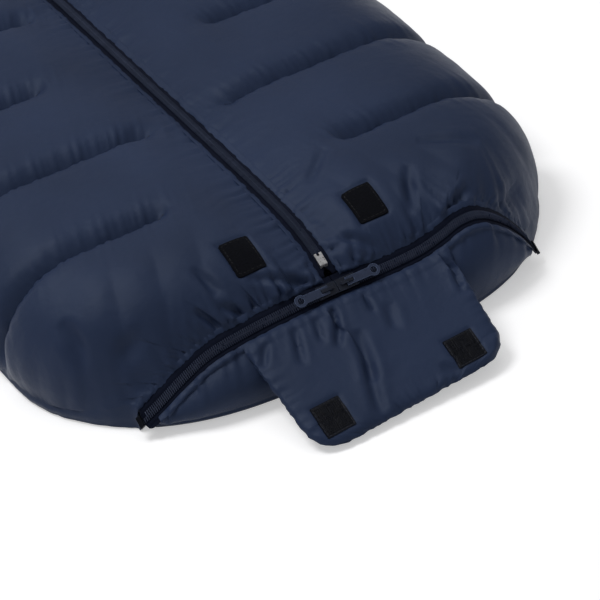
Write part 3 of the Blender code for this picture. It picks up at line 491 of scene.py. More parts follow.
def facing(grid, out):
    """Unit normals of a grid of points, on the side of a direction or of directions."""
    normal = np.cross(np.gradient(grid, axis=0), np.gradient(grid, axis=1))
    turned = np.sign((normal * out).sum(-1, keepdims=True))
    return unit(normal * np.where(turned == 0, 1, turned))


def border_of(shape):
    """Marks on the outermost rows and columns of a grid."""
    return np.pad(np.zeros((shape[0] - 2, shape[1] - 2), bool), 1, constant_values=True)


def beside(grid):
    """Neighbours of each inner point of a grid: above, to the right, below and to the left."""
    return grid[:-2, 1:-1], grid[1:-1, 2:], grid[2:, 1:-1], grid[1:-1, :-2]


def averaged(grid):
    above, right, below, left = beside(grid)
    return (below + above + right + left) / 4


def spans(first, second):
    return np.linalg.norm(second - first, axis=-1)


def pairs(count, parity):
    """Slices that match each second point with the one after it."""
    last = count - 1 - (count - 1 - parity) % 2
    return slice(parity, last, 2), slice(parity + 1, last + 1, 2)


def draw_together(first, second, rest, firmness):
    """Move pairs of points towards their rest distance."""
    gap = second - first
    length = np.linalg.norm(gap, axis=-1)
    move = gap * ((length - rest) / np.maximum(length, 1e-9) * firmness / 2)[..., None]
    first += move
    second -= move


def settle(start, normal, swell, spare_rows, spare_columns, held, rounds, softness=0.05):
    """Let a grid of cloth settle over its padding.

    swell is how far the padding lifts each point, spare_rows and spare_columns are the shares of spare
    cloth along the rows and along the columns, and held marks the sewn points.
    """
    momentum, give, firm, loose = 0.85, 0.06, 0.9, 0.35
    place, before = start.copy(), start.copy()
    along = spans(start[:, :-1], start[:, 1:]) * (1 + (spare_rows[:, 1:] + spare_rows[:, :-1]) / 2)
    down = spans(start[:-1], start[1:]) * (1 + (spare_columns[1:] + spare_columns[:-1]) / 2)
    spare = 1 + (spare_rows + spare_columns)[1:, 1:] / 2
    falling = spans(start[:-1, :-1], start[1:, 1:]) * spare
    rising = spans(start[:-1, 1:], start[1:, :-1]) * spare
    rows, columns = held.shape
    for _ in range(rounds):
        lifted = ((place - start) * normal).sum(-1)
        moved = place + (place - before) * momentum + normal * ((swell - lifted) * give)[..., None]
        before, place = place, moved
        place[1:-1, 1:-1] += (averaged(place) - place[1:-1, 1:-1]) * softness
        for parity in (0, 1):
            first, second = pairs(columns, parity)
            draw_together(place[:, first], place[:, second], along[:, first], firm)
            first, second = pairs(rows, parity)
            low, high = place[first], place[second]
            draw_together(low, high, down[first], firm)
            draw_together(low[:, :-1], high[:, 1:], falling[first], loose)
            draw_together(low[:, 1:], high[:, :-1], rising[first], loose)
        place[held] = start[held]
    return place


def smooth(grid, held, rounds):
    """Even out a grid of points, apart from the held ones."""
    grid = grid.copy()
    for _ in range(rounds):
        inner = grid[1:-1, 1:-1]
        grid[1:-1, 1:-1] = np.where(held[1:-1, 1:-1, None], inner, mix(inner, averaged(grid), 0.5))
    return grid


# Meshes


def linked(name, data):
    """Object in the scene."""
    made = bpy.data.objects.new(name, data)
    bpy.context.scene.collection.objects.link(made)
    return made


def made_object(name, mesh, material, smooth_angle=60):
    """Object in the scene from a mesh, with one material."""
    mesh.materials.append(material)
    mesh.shade_smooth()
    mesh.set_sharp_from_angle(angle=math.radians(smooth_angle))
    return linked(name, mesh)


def cloth_places(grid):
    """Distances in metres along the rows and down the columns of a grid, as seen from its middle."""
    across, down = walked(grid[grid.shape[0] // 2]), walked(grid[:, grid.shape[1] // 2])
    return np.stack(np.meshgrid(across, down), -1).reshape(-1, 2)


def closed_grid(name, outer, inner, material, omit=None):
    """Closed skin between two grids of points: omit marks the cells that stay open."""
    rows, columns = outer.shape[:2]
    count = rows * columns
    index = np.arange(count).reshape(rows, columns)
    cells = np.stack([index[:-1, :-1], index[:-1, 1:], index[1:, 1:], index[1:, :-1]], -1)
    keep = np.ones(cells.shape[:2], bool) if omit is None else ~omit
    faces = [cells[keep], cells[keep][:, ::-1] + count]
    for corner, kept in enumerate(beside(np.pad(keep, 1))):
        edge = cells[keep & ~kept]
        first, second = edge[:, corner], edge[:, (corner + 1) % 4]
        faces.append(np.stack([second, first, first + count, second + count], -1))
    mesh = bpy.data.meshes.new(name)
    vertices = np.concatenate([outer.reshape(-1, 3), inner.reshape(-1, 3)])
    mesh.from_pydata(vertices, [], np.concatenate(faces).tolist())
    corners = np.zeros(len(mesh.loops), int)
    mesh.loops.foreach_get("vertex_index", corners)
    places = np.tile(cloth_places(outer), (2, 1))[corners]
    mesh.uv_layers.new(name="cloth").data.foreach_set("uv", places.astype(np.float32).ravel())
    work = bmesh.new()
    work.from_mesh(mesh)
    bmesh.ops.delete(work, geom=[vertex for vertex in work.verts if not vertex.link_faces], context="VERTS")
    bmesh.ops.recalc_face_normals(work, faces=work.faces[:])
    work.to_mesh(mesh)
    work.free()
    return made_object(name, mesh, material)


def scattered(name, shape, origins, axes, material):
    """One mesh of many copies of a small shape: axes holds three unit vectors for each copy."""
    vertices, faces = shape
    placed = origins[:, None] + np.einsum("vk,nkx->nvx", vertices, axes)
    offsets = np.arange(len(origins)) * len(vertices)
    every = [[corner + offset for corner in face] for offset in offsets.tolist() for face in faces]
    mesh = bpy.data.meshes.new(name)
    mesh.from_pydata(placed.reshape(-1, 3), [], every)
    return made_object(name, mesh, material)


def bead(length, width, height, head=1.0, around=6):
    """Rounded bar along its first axis, with a head at the far end: vertices and faces."""
    stations = ((-0.5, 0.35), (-0.42, 0.85), (0.0, 1.0), (0.36, head), (0.46, head * 0.85), (0.5, head * 0.4))
    turns = [2 * math.pi * (index + 0.5) / around for index in range(around)]
    vertices = [
        (place * length, math.cos(turn) * width / 2 * size, math.sin(turn) * height / 2 * size)
        for place, size in stations for turn in turns
    ]
    faces = []
    for start in range(0, (len(stations) - 1) * around, around):
        for index in range(around):
            low, high = start + index, start + (index + 1) % around
            faces.append((low, high, high + around, low + around))
    faces.append(tuple(reversed(range(around))))
    faces.append(tuple(range(len(vertices) - around, len(vertices))))
    return np.array(vertices), faces


def stitches(name, path, normal, material):
    """Row of thread stitches along a path of points."""
    length, gap, thick = 2.6 * MM, 0.9 * MM, 0.45 * MM
    walk = walked(path)
    marks = np.arange((length + gap) / 2, walk[-1] - length / 2, length + gap)

    def at(marks, values=path):
        return np.stack([np.interp(marks, walk, values[:, axis]) for axis in range(3)], -1)

    along = unit(at(marks + length / 2) - at(marks - length / 2))
    across = unit(np.cross(at(marks, normal), along))
    axes = np.stack([along, across, np.cross(along, across)], 1)
    thread = scattered(name, bead(length, thick, thick * 0.8), at(marks), axes, material)
    return thread


# Materials


def srgb(red, green, blue):
    """Linear colour from an 8-bit display colour."""
    share = np.array((red, green, blue)) / 255
    linear = np.where(share <= 0.04045, share / 12.92, ((share + 0.055) / 1.055) ** 2.4)
    return (*linear.tolist(), 1.0)


class Surface:
    """Material under construction: a principled shader and the nodes that drive it."""

    def __init__(self, name, values):
        self.made = bpy.data.materials.new(name)
        self.made.use_nodes = True
        self.tree = self.made.node_tree
        self.shader = self.tree.nodes["Principled BSDF"]
        self.feed(self.shader, values)

    def feed(self, node, values):
        """Put values or links on the inputs of a node."""
        for key, value in values.items():
            if isinstance(value, bpy.types.NodeSocket):
                self.tree.links.new(value, node.inputs[key])
            else:
                node.inputs[key].default_value = value
        return node

    def node(self, kind, values=None, **settings):
        """Outputs of a new node with its settings, and with values or links on its inputs."""
        made = self.tree.nodes.new("ShaderNode" + kind)
        for key, value in settings.items():
            setattr(made, key, value)
        return self.feed(made, values or {}).outputs

    def noise(self, scale, detail, rough=0.5, stretch=(1, 1, 1)):
        """Noise of a number of blobs to the metre."""
        place = self.node("Mapping", {"Vector": self.node("TexCoord")["Object"], "Scale": stretch})
        values = {"Vector": place["Vector"], "Scale": scale, "Detail": detail, "Roughness": rough}
        return self.node("TexNoise", values)["Fac"]

    def maths(self, operation, first, second=0.0):
        return self.node("Math", {0: first, 1: second}, operation=operation)[0]

    def ranged(self, blotch, low, high):
        values = {"Value": blotch, "From Min": 0.3, "From Max": 0.7, "To Min": low, "To Max": high}
        return self.node("MapRange", values)["Result"]

    def weave(self, pitch, slant):
        """Height of a plain weave, or of a twill, in the cloth's own metres."""
        parts = self.node("SeparateXYZ", {"Vector": self.node("TexCoord")["UV"]})
        across, along = (self.maths("MULTIPLY", parts[axis], 2 * math.pi / (pitch * MM)) for axis in "XY")
        if slant:
            across = self.maths("ADD", across, self.maths("MULTIPLY", along, slant))
        return self.maths("MULTIPLY", self.maths("SINE", across), self.maths("SINE", along))

    def blotched(self, base, blotch, amount):
        """Base colour with lighter and darker blotches."""
        dark, light = ((*(part * share for part in base[:3]), 1.0) for share in (1 - amount, 1 + amount))
        factor, first, second, result = 0, 6, 7, 2
        values = {factor: self.ranged(blotch, 0.0, 1.0), first: dark, second: light}
        return self.node("Mix", values, data_type="RGBA")[result]


def finish(name, shade, blotches, amount, bumps, roughness, specular=0.5, tint=(255, 255, 255), **more):
    """Material: 8-bit colours, noises by their blobs to the metre, bumps with depth in mm and strength.

    roughness is a value, or a noise with the limits between which it moves. sheen holds its weight,
    roughness and colour, and weave its pitch in mm, slant, depth and strength.
    """
    surface = Surface(name, {"Specular IOR Level": specular, "Specular Tint": srgb(*tint)})
    surface.feed(surface.shader, {"Metallic": more.get("metallic", 0.0)})
    base = surface.blotched(srgb(*shade), surface.noise(*blotches), amount)
    if isinstance(roughness, tuple):
        noise, low, high = roughness
        roughness = surface.ranged(surface.noise(*noise), low, high)
    surface.feed(surface.shader, {"Base Color": base, "Roughness": roughness})
    if "sheen" in more:
        weight, rough, colour = more["sheen"]
        values = {"Sheen Weight": weight, "Sheen Roughness": rough, "Sheen Tint": srgb(*colour)}
        surface.feed(surface.shader, values)
    heights = [(surface.noise(*noise), depth, strength) for noise, depth, strength in bumps]
    if "weave" in more:
        pitch, slant, depth, strength = more["weave"]
        woven = (surface.weave(pitch, slant), depth, strength)
        heights.insert(len(heights) if more.get("weave_last", True) else 0, woven)
    normal = {}
    for height, depth, strength in heights:
        values = {"Height": height, "Distance": depth * MM, "Strength": strength, **normal}
        normal = {"Normal": surface.node("Bump", values)["Normal"]}
    surface.feed(surface.shader, normal)
    return surface.made


def steel(name, shade):
    """Plated metal with fine scratches."""
    bumps = [((1200, 3, 0.6, (1, 0.1, 1)), 0.03, 0.4)]
    return finish(name, shade, (250, 4), 0.12, bumps, ((500, 4, 0.7), 0.2, 0.42), metallic=1.0)


def enamel(name, shade):
    """Enamel with a blotched tone, uneven roughness and fine bumps."""
    bumps = [((700, 3, 0.6), 0.05, 0.5)]
    return finish(name, shade, (220, 4), 0.16, bumps, ((420, 4, 0.7), 0.24, 0.42), tint=(215, 226, 255))


def twisted(name, shade):
    """Twisted polyester thread."""
    return finish(name, shade, (300, 2), 0.2, [((2500, 2), 0.05, 0.6)], 0.6, 0.4)


# Downproof navy nylon: a fine plain weave with a soft shine and small crinkles
NYLON = finish(
    "navy_nylon", (39, 50, 75), (9, 4), 0.12,
    [((22, 3, 0.5, (1, 1.6, 1)), 3.0, 0.35), ((70, 4, 0.55), 1.4, 0.35), ((230, 3), 0.5, 0.25)],
    ((30, 3), 0.39, 0.49), 0.16, (224, 237, 255),
    sheen=(0.05, 0.35, (100, 130, 195)), weave=(0.42, 0, 0.04, 0.5),
)
# Woven black zip tape
TAPE = finish(
    "black_tape", (10, 13, 24), (60, 3), 0.2, [((900, 2), 0.08, 0.4)], 0.7, 0.18, (170, 190, 255),
    sheen=(0.04, 0.5, (90, 100, 130)), weave=(0.8, 0.5, 0.12, 0.8), weave_last=False,
)
# Shiny black nylon monofilament, its colour lightened to grey-blue as a painted highlight on the teeth
COIL = finish(
    "coil", (56, 62, 80), (120, 2), 0.15, [((1500, 2), 0.03, 0.3)],
    ((300, 2), 0.25, 0.38), 0.7, (190, 210, 255),
)
# Short brushed fleece
FLEECE = finish(
    "fleece", (92, 98, 108), (260, 5, 0.75), 0.3, [((150, 4, 0.65), 2.6, 0.8), ((900, 3, 0.6), 0.6, 0.8)],
    0.95, 0.1, sheen=(0.5, 0.6, (190, 195, 205)),
)
# Fuzzy black loops, and stiff dark hooks on a woven ground
LOOPS = finish(
    "loop_pile", (10, 11, 16), (700, 3, 0.7), 0.35, [((1100, 4, 0.7), 0.5, 0.9)], 0.95, 0.08,
    sheen=(0.12, 0.6, (90, 95, 110)),
)
HOOKS = finish("hook_pile", (8, 11, 20), (600, 3, 0.7), 0.5, [((1400, 3, 0.6), 0.25, 0.7)], 0.6, 0.15)
THREAD, BLACK_THREAD = twisted("thread", (24, 29, 43)), twisted("black_thread", (9, 10, 14))
STEEL, DARK_STEEL = steel("steel", (196, 196, 198)), steel("dark_steel", (30, 32, 38))
ENAMEL, BLACK_ENAMEL = enamel("enamel", (40, 48, 68)), enamel("black_enamel", (12, 15, 24))
# Lighter enamel on the rounded edges of sliders and pulls: a painted highlight
EDGE_HIGHLIGHT_ENAMEL = enamel("enamel_painted_edge_highlight", (112, 130, 168))


def dressed(piece, nodes, body=None):
    """Hide the nodes that a piece stands for, and attach it to the body it rides on, if it has one."""
    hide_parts(*nodes)
    if body:
        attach(piece, body)
    return piece


def padded_piece(name, skins, nodes, body=None, omit=None):
    """Nylon skin over wadding, between its upper and its lower grid."""
    piece = closed_grid(name, *skins, NYLON, omit)
    return dressed(piece, nodes, body)


def fleece_sheet(name, skins, node, body=None, omit=None):
    """Fleece lining, a sheet between two grids."""
    piece = closed_grid(name, *skins, FLEECE, omit)
    return dressed(piece, (node,), body)


def sewn_to_back(piece):
    """Bake a piece's transform into its mesh; the piece rides on no body."""
    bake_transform(piece)


# Covers


def cover_grid():
    """Grid of a cover with its tucked edges: shares across, distances from the foot zip, and tuck shares."""
    columns = np.linspace(0, 1, round(FACE_LENGTH / CLOTH_STEP) + 1)
    marks = [FOOT_ROW_Y] + [line for line, _ in quilt_lines()] + [COVER_LENGTH]
    rows = spread(marks, lambda y: CLOTH_STEP if y < NEAR_LENGTH else FAR_STEP)
    tuck = np.arange(1, TUCK_COUNT + 1) / TUCK_COUNT
    u, y = np.meshgrid(np.append(columns, np.ones(TUCK_COUNT)), np.append(np.full(TUCK_COUNT, rows[0]), rows))
    untucked = np.zeros(len(columns)), np.zeros(len(rows))
    return u, y, *np.meshgrid(np.append(untucked[0], tuck), np.append(tuck[::-1], untucked[1]))


def rim_x(y):
    """Distance of the mat's edge from its middle, at a place in plan."""
    shift = FOOT_SETBACK / WIDENING_LENGTH
    widening = half_width(np.minimum(y, (y - FOOT_SETBACK) / (1 - shift)))
    share = np.clip((y + FOOT_REACH) / (FOOT_REACH + FOOT_SETBACK), 0, 1)
    front = FOOT_HALF_WIDTH * share ** (1 / FOOT_POWER)
    return np.where(y < FOOT_SETBACK, front, np.where(y < WIDENING_LENGTH, widening, half_width(y)))


def hanging(edge, ground, out):
    """Cloth from an edge down to the ground, as rows of points that bow outward."""
    shares = np.linspace(0, 1, SKIRT_COUNT + 1)[1:]
    bows = [out * (SKIRT_BOW * math.sin(math.pi * min(1, 1.15 * share))) for share in shares]
    return [mix(edge, ground, share) + bow for share, bow in zip(shares, bows)]


def tucked(grid, sign, tuck_u, tuck_y):
    """Fold a cover's edges down onto the zip tapes."""
    drop = LANE_DEPTH - TUCK_LEVEL
    place = grid[..., 0] + grid[..., 1]
    uneven = gathered(((place, (13, 19, 31), 71, 1, 0.9), (place, (5, 7, 11), 91, 1, 0.7)), sign) - 0.6 * MM
    inward = LANE_HALF_WIDTH - TUCK_HALF_WIDTH + uneven
    turn = math.pi / 2 * np.stack([tuck_u, tuck_y])
    bow, fall = np.sin(turn), 1 - np.cos(turn)
    centre = points(-sign * inward * bow[0], 0, -drop * fall[0])
    foot = -LANE_ACROSS * (inward * bow[1])[..., None] - LANE_OUT * (drop * fall[1])[..., None]
    return grid + centre + foot


def fading(lift):
    """Let a lift of the cloth fade out over its neighbours, so that it ends in no step."""
    for _ in range(LIFT_REACH):
        around = np.maximum.reduce(beside(np.pad(lift, 1, mode="edge")))
        lift = np.maximum(lift, LIFT_KEPT * around)
    return lift


def above_tapes(cloth, tuck_u, tuck_y):
    """Keep the tucked cloth of a cover on top of the zip tapes, and swell it there."""
    least = TUCK_LEVEL + np.sin(math.pi * np.stack([tuck_u, tuck_y])) * TUCK_SWELL
    level = (cloth - whole_zip_point(zip_share(cloth[..., 0]))) @ LANE_OUT
    short = np.where(tuck_y > 0, np.maximum(0, least[1] - level), 0)
    cloth = cloth + LANE_OUT * fading(short)[..., None]
    level = cloth[..., 2] - centre_height(cloth[..., 1])
    short = np.where(tuck_u > 0, np.maximum(0, least[0] - level), 0)
    return cloth + points(0, 0, fading(short))


def with_skirt(cloth, inner, sign):
    """Carry a cover's cloth on from its side seam down over the edge of the mat."""
    out = np.array((float(sign), 0.0, 0.0))
    x, y = np.abs(cloth[:, 0, 0]), cloth[:, 0, 1]
    rim = np.maximum(rim_x(y), x) + SKIRT_GAP
    puckers = gathers(y, (17, 29, 43), 79 + sign) * 0.5 * MM
    flare = np.maximum(rim - x, SKIRT_FLARE) * ease((y - FOOT_ROW_Y) / (14 * MM))
    fade = near(np.linalg.norm(cloth - cloth[:, :1], axis=-1), 14)
    cloth = cloth + out * (flare[:, None] * fade)[..., None]
    edge = cloth[:, 0]
    skirt = np.stack(hanging(edge, points(sign * (rim + puckers), edge[:, 1], SKIRT_GROUND), out)[::-1], 1)
    lower = skirt - out * SKIRT_THICKNESS
    return np.concatenate([skirt, cloth], 1), np.concatenate([lower, inner], 1)


def seam_gaps(across, u, y):
    """How far a cover's points lie from its seams and its patch, and which lie on a stitched line."""
    line_gap, on_line = np.full(y.shape, 1.0), np.zeros(y.shape, bool)
    for line, end in quilt_lines():
        off_end = end + STITCH_SETBACK - across
        line_gap = np.minimum(line_gap, np.hypot(np.abs(y - line), np.maximum(0, off_end)))
        on_line |= (np.abs(y - line) < 0.1 * MM) & (off_end < 0)
    patch_x, patch_y = np.abs(across - LOOP_X) - PATCH_WIDTH / 2, np.abs(y - LOOP_Y) - PATCH_LENGTH / 2
    patch_gap = np.hypot(np.maximum(0, patch_x), np.maximum(0, patch_y)) + np.where(u > SHOULDER_SHARE, 0, 1)
    centre_gap, foot_gap = np.maximum(0, across - LANE_HALF_WIDTH), np.maximum(0, y - FOOT_ROW_Y)
    return centre_gap, foot_gap, u * FACE_LENGTH, COVER_LENGTH - y, line_gap, patch_gap, on_line


def cover_folds(base, y, sign, gaps):
    """Height of a cover's creases and of the gathers beside its seams."""
    centre_gap, foot_gap, side_gap, _, line_gap = gaps
    across = np.abs(base[..., 0])
    lean = 0.5 * ripple(across, (60, 110), 23 + sign)
    busy = 0.75 + 0.6 * ripple(across, (90, 150), 29 + sign)
    middle = np.exp(-(((foot_gap - 42 * MM) / (26 * MM)) ** 2))
    return creased(base, CREASES[sign], COVER_CREASE_SHARE) + gathered((
        (across + lean * foot_gap, (15, 23, 37), 3, near(foot_gap, 17) * busy, 3.4),
        (across - lean * foot_gap, (8, 12, 19), 5, near(foot_gap, 7), 1.3),
        (across + 0.3 * foot_gap, (61, 83), 9, middle, 1.3),
        (y + (0.4 + lean) * centre_gap, (14, 22, 35), 7, near(centre_gap, 16), 1.7),
        (across + 0.3 * y, (11, 17, 27), 11, near(line_gap, 13), 1.6),
        (y, (29, 47, 71), 13, near(side_gap, 40) * np.exp(-0.03 / (foot_gap + MM)), 2.2),
    ), sign)


def stitch_lines(side_name, cloth, upward, across, u, y):
    """Thread along the quilted lines of a cover."""
    for number, (line, end) in enumerate(quilt_lines()):
        row = int(np.argmin(np.abs(y[:, 0] - line)))
        sewn = (across[row] > end + STITCH_SETBACK) & (u[row] > 0.03)
        path, lift = cloth[row, sewn] + upward[row, sewn] * 0.2 * MM, upward[row, sewn]
        name = f"cover_{side_name}_stitches_{number}"
        sewn_to_back(stitches(name, path, lift, THREAD))


def line_cover(side_name, sign, base, normal, u, y):
    """Crinkled lining below the wadding of a cover."""
    thin = (slice(TUCK_COUNT, None, 2), slice(0, u.shape[1] - TUCK_COUNT, 2))
    crinkle = np.abs(ripple(u[thin] * 0.3 + y[thin], (31, 47, 83), 17 + sign) * 0.25 * MM)
    outside = (base - normal * (COVER_WALL + CLEARANCE))[thin]
    inside = (base - normal * (COVER_WALL + CLEARANCE + LINING))[thin] - normal[thin] * crinkle[..., None]
    fleece, quilt, lining = (f"cover_{side_name}_{kind}" for kind in ("fleece", "quilt", "lining"))
    sewn_to_back(fleece_sheet(fleece, (outside, inside), lining))


def make_cover(side_name, sign):
    """Nylon of one cover over its wadding, settled with gathers at its seams, and the lining inside."""
    u, y, tuck_u, tuck_y = cover_grid()
    base, out = cover_face(sign, u, y), points(sign, 0, 1.5)
    across, normal = np.abs(base[..., 0]), facing(base, out)
    *gaps, patch_gap, on_line = seam_gaps(across, u, y)
    centre_gap, foot_gap, side_gap, head_gap, line_gap = gaps
    spare_rows = spare((foot_gap, 0.14, 22), (line_gap, 0.10, 12), (head_gap, 0.05, 20))
    spare_columns = spare((centre_gap, 0.10, 22), (side_gap, 0.09, 25))
    zip_gap = np.minimum(foot_gap, centre_gap)
    swell = COVER_SWELL * away((zip_gap, 14), (line_gap, 16), (head_gap, 20), (side_gap, 20))
    swell = mix(swell, PATCH_LIFT, near(patch_gap, 9))
    held = border_of(y.shape) | on_line
    calm = (1 - near(patch_gap, 5)) * (1 - 0.55 * np.maximum(tuck_u, tuck_y))
    seed = np.where(held, 0, cover_folds(base, y, sign, gaps) * calm)

    # The folds start the cloth off and are drawn in again, because settling pulls some of them flat
    start = tucked(quilted(base, u, y, CREASE_HALF_WIDTH, CREASE_DEPTH), sign, tuck_u, tuck_y)
    start = start + normal * (0.6 * seed + PATCH_LIFT * near(patch_gap, 9))[..., None]
    held |= patch_gap < 0.5 * MM
    cloth = settle(start, normal, swell, spare_rows, spare_columns, held, COVER_ROUNDS, 0.09)
    cloth = above_tapes(smooth(cloth, held, 2) + normal * (0.7 * seed)[..., None], tuck_u, tuck_y)
    cloth[..., 2] = np.maximum(cloth[..., 2], LEAST_HEIGHT)

    stitch_lines(side_name, cloth, facing(cloth, out), across, u, y)
    inner = base - normal * COVER_WALL + points(-sign * tuck_u, -tuck_y, 0) * 0.4 * MM
    quilt, *nodes = (f"cover_{side_name}_{kind}" for kind in ("quilt", "shell", "wadding"))
    sewn_to_back(padded_piece(quilt, with_skirt(cloth, inner, sign), nodes))
    line_cover(side_name, sign, base, normal, u, y)
    return y[:, 0], cloth


# Patches


def rounded(radius, step):
    """Grid over a patch with rounded corners."""
    columns = spread([-PATCH_WIDTH / 2, 0, PATCH_WIDTH / 2], step)
    x, y = np.meshgrid(columns, spread([-PATCH_LENGTH / 2, 0, PATCH_LENGTH / 2], step))
    corner_x = np.maximum(0, np.abs(x) - (PATCH_WIDTH / 2 - radius))
    corner_y = np.maximum(0, np.abs(y) - (PATCH_LENGTH / 2 - radius))
    scale = np.maximum(np.maximum(corner_x, corner_y), 1e-9) / np.maximum(np.hypot(corner_x, corner_y), 1e-9)
    scale = np.where((corner_x > 0) & (corner_y > 0), scale, 1)
    x = np.sign(x) * (np.abs(x) - corner_x + corner_x * scale)
    return x, np.sign(y) * (np.abs(y) - corner_y + corner_y * scale)


def patch_edge(x, y, inset):
    """Offsets from a patch's middle along a path inside its edge."""
    for grid, half in ((x, PATCH_WIDTH / 2), (y, PATCH_LENGTH / 2)):
        ring = np.concatenate([grid[0], grid[1:, -1], grid[-1, -2::-1], grid[-2::-1, 0]])
        yield ring * (half - inset) / half


def on_cloth(cloth, normal, rows, sign, count, x, y, first_row=0):
    """Places and normals on a grid of cloth, x to one side of its middle, where its rows hold y.

    count is how many columns lie between the middle and the side's outermost point.
    """
    found = np.zeros((2, *x.shape, 3))
    for spot in np.ndindex(x.shape):
        row = int(np.clip(np.searchsorted(rows, y[spot]) - 1, first_row, len(rows) - 2))
        part = (y[spot] - rows[row]) / (rows[row + 1] - rows[row])
        line = mix(cloth[row], cloth[row + 1], part)
        order = np.argsort(sign * line[:, 0])[:count]
        for kind, values in enumerate((line, mix(normal[row], normal[row + 1], part))):
            for axis in range(3):
                found[kind][spot][axis] = np.interp(x[spot], sign * line[order, 0], values[order, axis])
    return found[0], unit(found[1])


def make_patch(name, look, lay, grid, tall, body, seam):
    """Patch sewn to cloth: lay gives places and normals on the cloth, seam its inset and height."""
    pile, slot, material, thread = look
    place, up = lay(*grid)
    skins = (place + up * tall[..., None], place + up * (CLEARANCE / 2))
    dressed(closed_grid(f"{name}_{pile}", *skins, material), (name,), body)
    path, lift = lay(*patch_edge(*grid, seam[0]))
    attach(stitches(f"{name}_stitches", path + lift * seam[1], lift, thread), body)


def make_loop_patch(side_name, sign, rows, cloth):
    """Fuzzy patch on a cover."""
    faced = slice(0, cloth.shape[1] - TUCK_COUNT)
    normal = facing(cloth, points(0, 0, 1))[:, faced]

    def lay(x, y):
        half = cloth.shape[1] // 2
        return on_cloth(cloth[:, faced], normal, rows, sign, half, LOOP_X + x, LOOP_Y + y, TUCK_COUNT)

    x, y = rounded(radius=3 * MM, step=0.6 * MM)
    at_edge = np.maximum(np.abs(x) / (PATCH_WIDTH / 2), np.abs(y) / (PATCH_LENGTH / 2)) > 0.99
    rough = np.random.default_rng(21 + sign).normal(0, LOOP_ROUGHNESS, x.shape)
    tall = PATCH_THICKNESS * np.where(at_edge, 0.55, 0.9) + rough
    look = ("pile", "loop_pile", LOOPS, BLACK_THREAD)
    seam = (2.2 * MM, 1.55 * MM)
    make_patch(f"loop_patch_{side_name}", look, lay, (x, y), tall, f"cover_{side_name}", seam)


def make_hook_patch(side_name, sign, rows, cloth):
    """Patch of stiff hooks on the flap."""
    normal = facing(cloth, FLAP_OUT)

    def lay(x, y):
        return on_cloth(cloth, normal, rows, sign, None, HOOK_X + sign * x, HOOK_SHARE - y / FLAP_REACH[0])

    x, y = rounded(radius=1.2 * MM, step=0.55 * MM)
    inside = np.minimum(PATCH_WIDTH / 2 - np.abs(x), PATCH_LENGTH / 2 - np.abs(y))
    hooks = np.maximum(0, np.sin(x * 2 * math.pi / HOOK_PITCH) * np.sin(y * 2 * math.pi / HOOK_PITCH))
    rough = np.random.default_rng(51 + sign).normal(0, HOOK_ROUGHNESS, x.shape)
    tall = HOOK_GROUND + np.where(inside > HOOK_BORDER, HOOK_HEIGHT * hooks**0.5 + rough, 0.0)
    look = ("hooks", "hook_pile", HOOKS, THREAD)
    make_patch(f"hook_patch_{side_name}", look, lay, (x, y), tall, "foot_flap", (1.1 * MM, 0.8 * MM))


# Zips


def woven_tape(node, place, inner, end_gap, across, out, welt_height, body=None):
    """Tape beside a zip, rounded off at its cut ends, with a groove at the coil and a welt next to it.

    inner and end_gap are how far its inner edge is from the zip's middle, and each place from the end.
    """
    turn = np.clip(1 - end_gap / TAPE_END_LENGTH, 0, 1)
    outer = LANE_HALF_WIDTH - CLEARANCE - TAPE_END_LENGTH * (1 - np.sqrt(1 - turn * turn))
    reach = mix(inner[:, None], outer[:, None], np.linspace(0, 1, TAPE_COLUMNS)[None])
    welt = np.sqrt(np.clip(1 - ((reach - WELT_MIDDLE) / WELT_HALF_WIDTH) ** 2, 0, 1))
    middle = place[:, None] + across * reach[..., None]
    top = middle + out * (TAPE_THICKNESS / 2 + welt_height * welt)[..., None]
    tape = closed_grid(f"{node}_weave", top, middle - out * (TAPE_THICKNESS / 2), TAPE)
    return dressed(tape, (node,), body)


def teeth(node, middle, marks, steps, across, out, post, body=None):
    """Row of coil teeth: each is a loop of filament seen as a rounded bar across the row.

    steps lead back and ahead along the zip, and post is an axis with the place of a slider's post on it.
    """
    place = middle(marks)
    along = unit(middle(marks + steps[1]) - middle(marks - steps[0]))
    offset = parting(place[:, post[0]] - post[1]) - TOOTH_OVERLAP
    shape = bead(COIL_ROW_WIDTH + 0.4 * MM, 0.9 * MM, COIL_HEIGHT * 0.92, head=1.12)
    origins = place + across * (offset + COIL_ROW_WIDTH / 2)[:, None] + out * (COIL_BASE + COIL_HEIGHT / 2)
    axes = np.stack(np.broadcast_arrays(-across, along, out), 1)
    return dressed(scattered(f"{node}_teeth", shape, origins, axes, COIL), (node,), body)


def foot_row(kind, middle, length, first, count, step, side, body=None):
    """Tape and row of coil along the foot zip, on one side of its tilted lane."""
    place = middle(np.linspace(0, 1, max(2, round(length / TAPE_STEP)) + 1))
    x, across, welt_height = place[:, 0], LANE_ACROSS * side, WELT_HEIGHTS[kind.split("_")[0]]
    end_gap = ZIP_HALF_SPAN - np.abs(x)
    tape = woven_tape(f"foot_tape_{kind}", place, parting(x), end_gap, across, LANE_OUT, welt_height, body)
    marks = (first + np.arange(count) * COIL_PITCH) / length
    coil = teeth(f"foot_coil_{kind}", middle, marks, (step, step), across, LANE_OUT, (0, 0.0), body)
    return tape, coil


def make_foot_zip():
    """Tapes and coils of the foot zip."""
    total = ZIP_LENGTHS[-1] + ZIP_LENGTHS[1]

    def whole(share):
        """Evenly along the whole zip."""
        walk = np.asarray(share) * total - ZIP_LENGTHS[-1]
        return whole_zip_point(walk / np.where(walk < 0, ZIP_LENGTHS[-1], ZIP_LENGTHS[1]))

    foot_row("lower", whole, total, COIL_PITCH / 2, int(total / COIL_PITCH), 0.001, -1, "back")
    for side_name, sign in SIDES:
        def side(share, sign=sign):
            return zip_point(sign, share, CLEARANCE)

        length = ZIP_LENGTHS[sign]
        first, count = COIL_PITCH / 2 + CLEARANCE, int(length / COIL_PITCH) - 1
        for piece in foot_row(f"upper_{side_name}", side, length, first, count, 0.002, 1):
            sewn_to_back(piece)


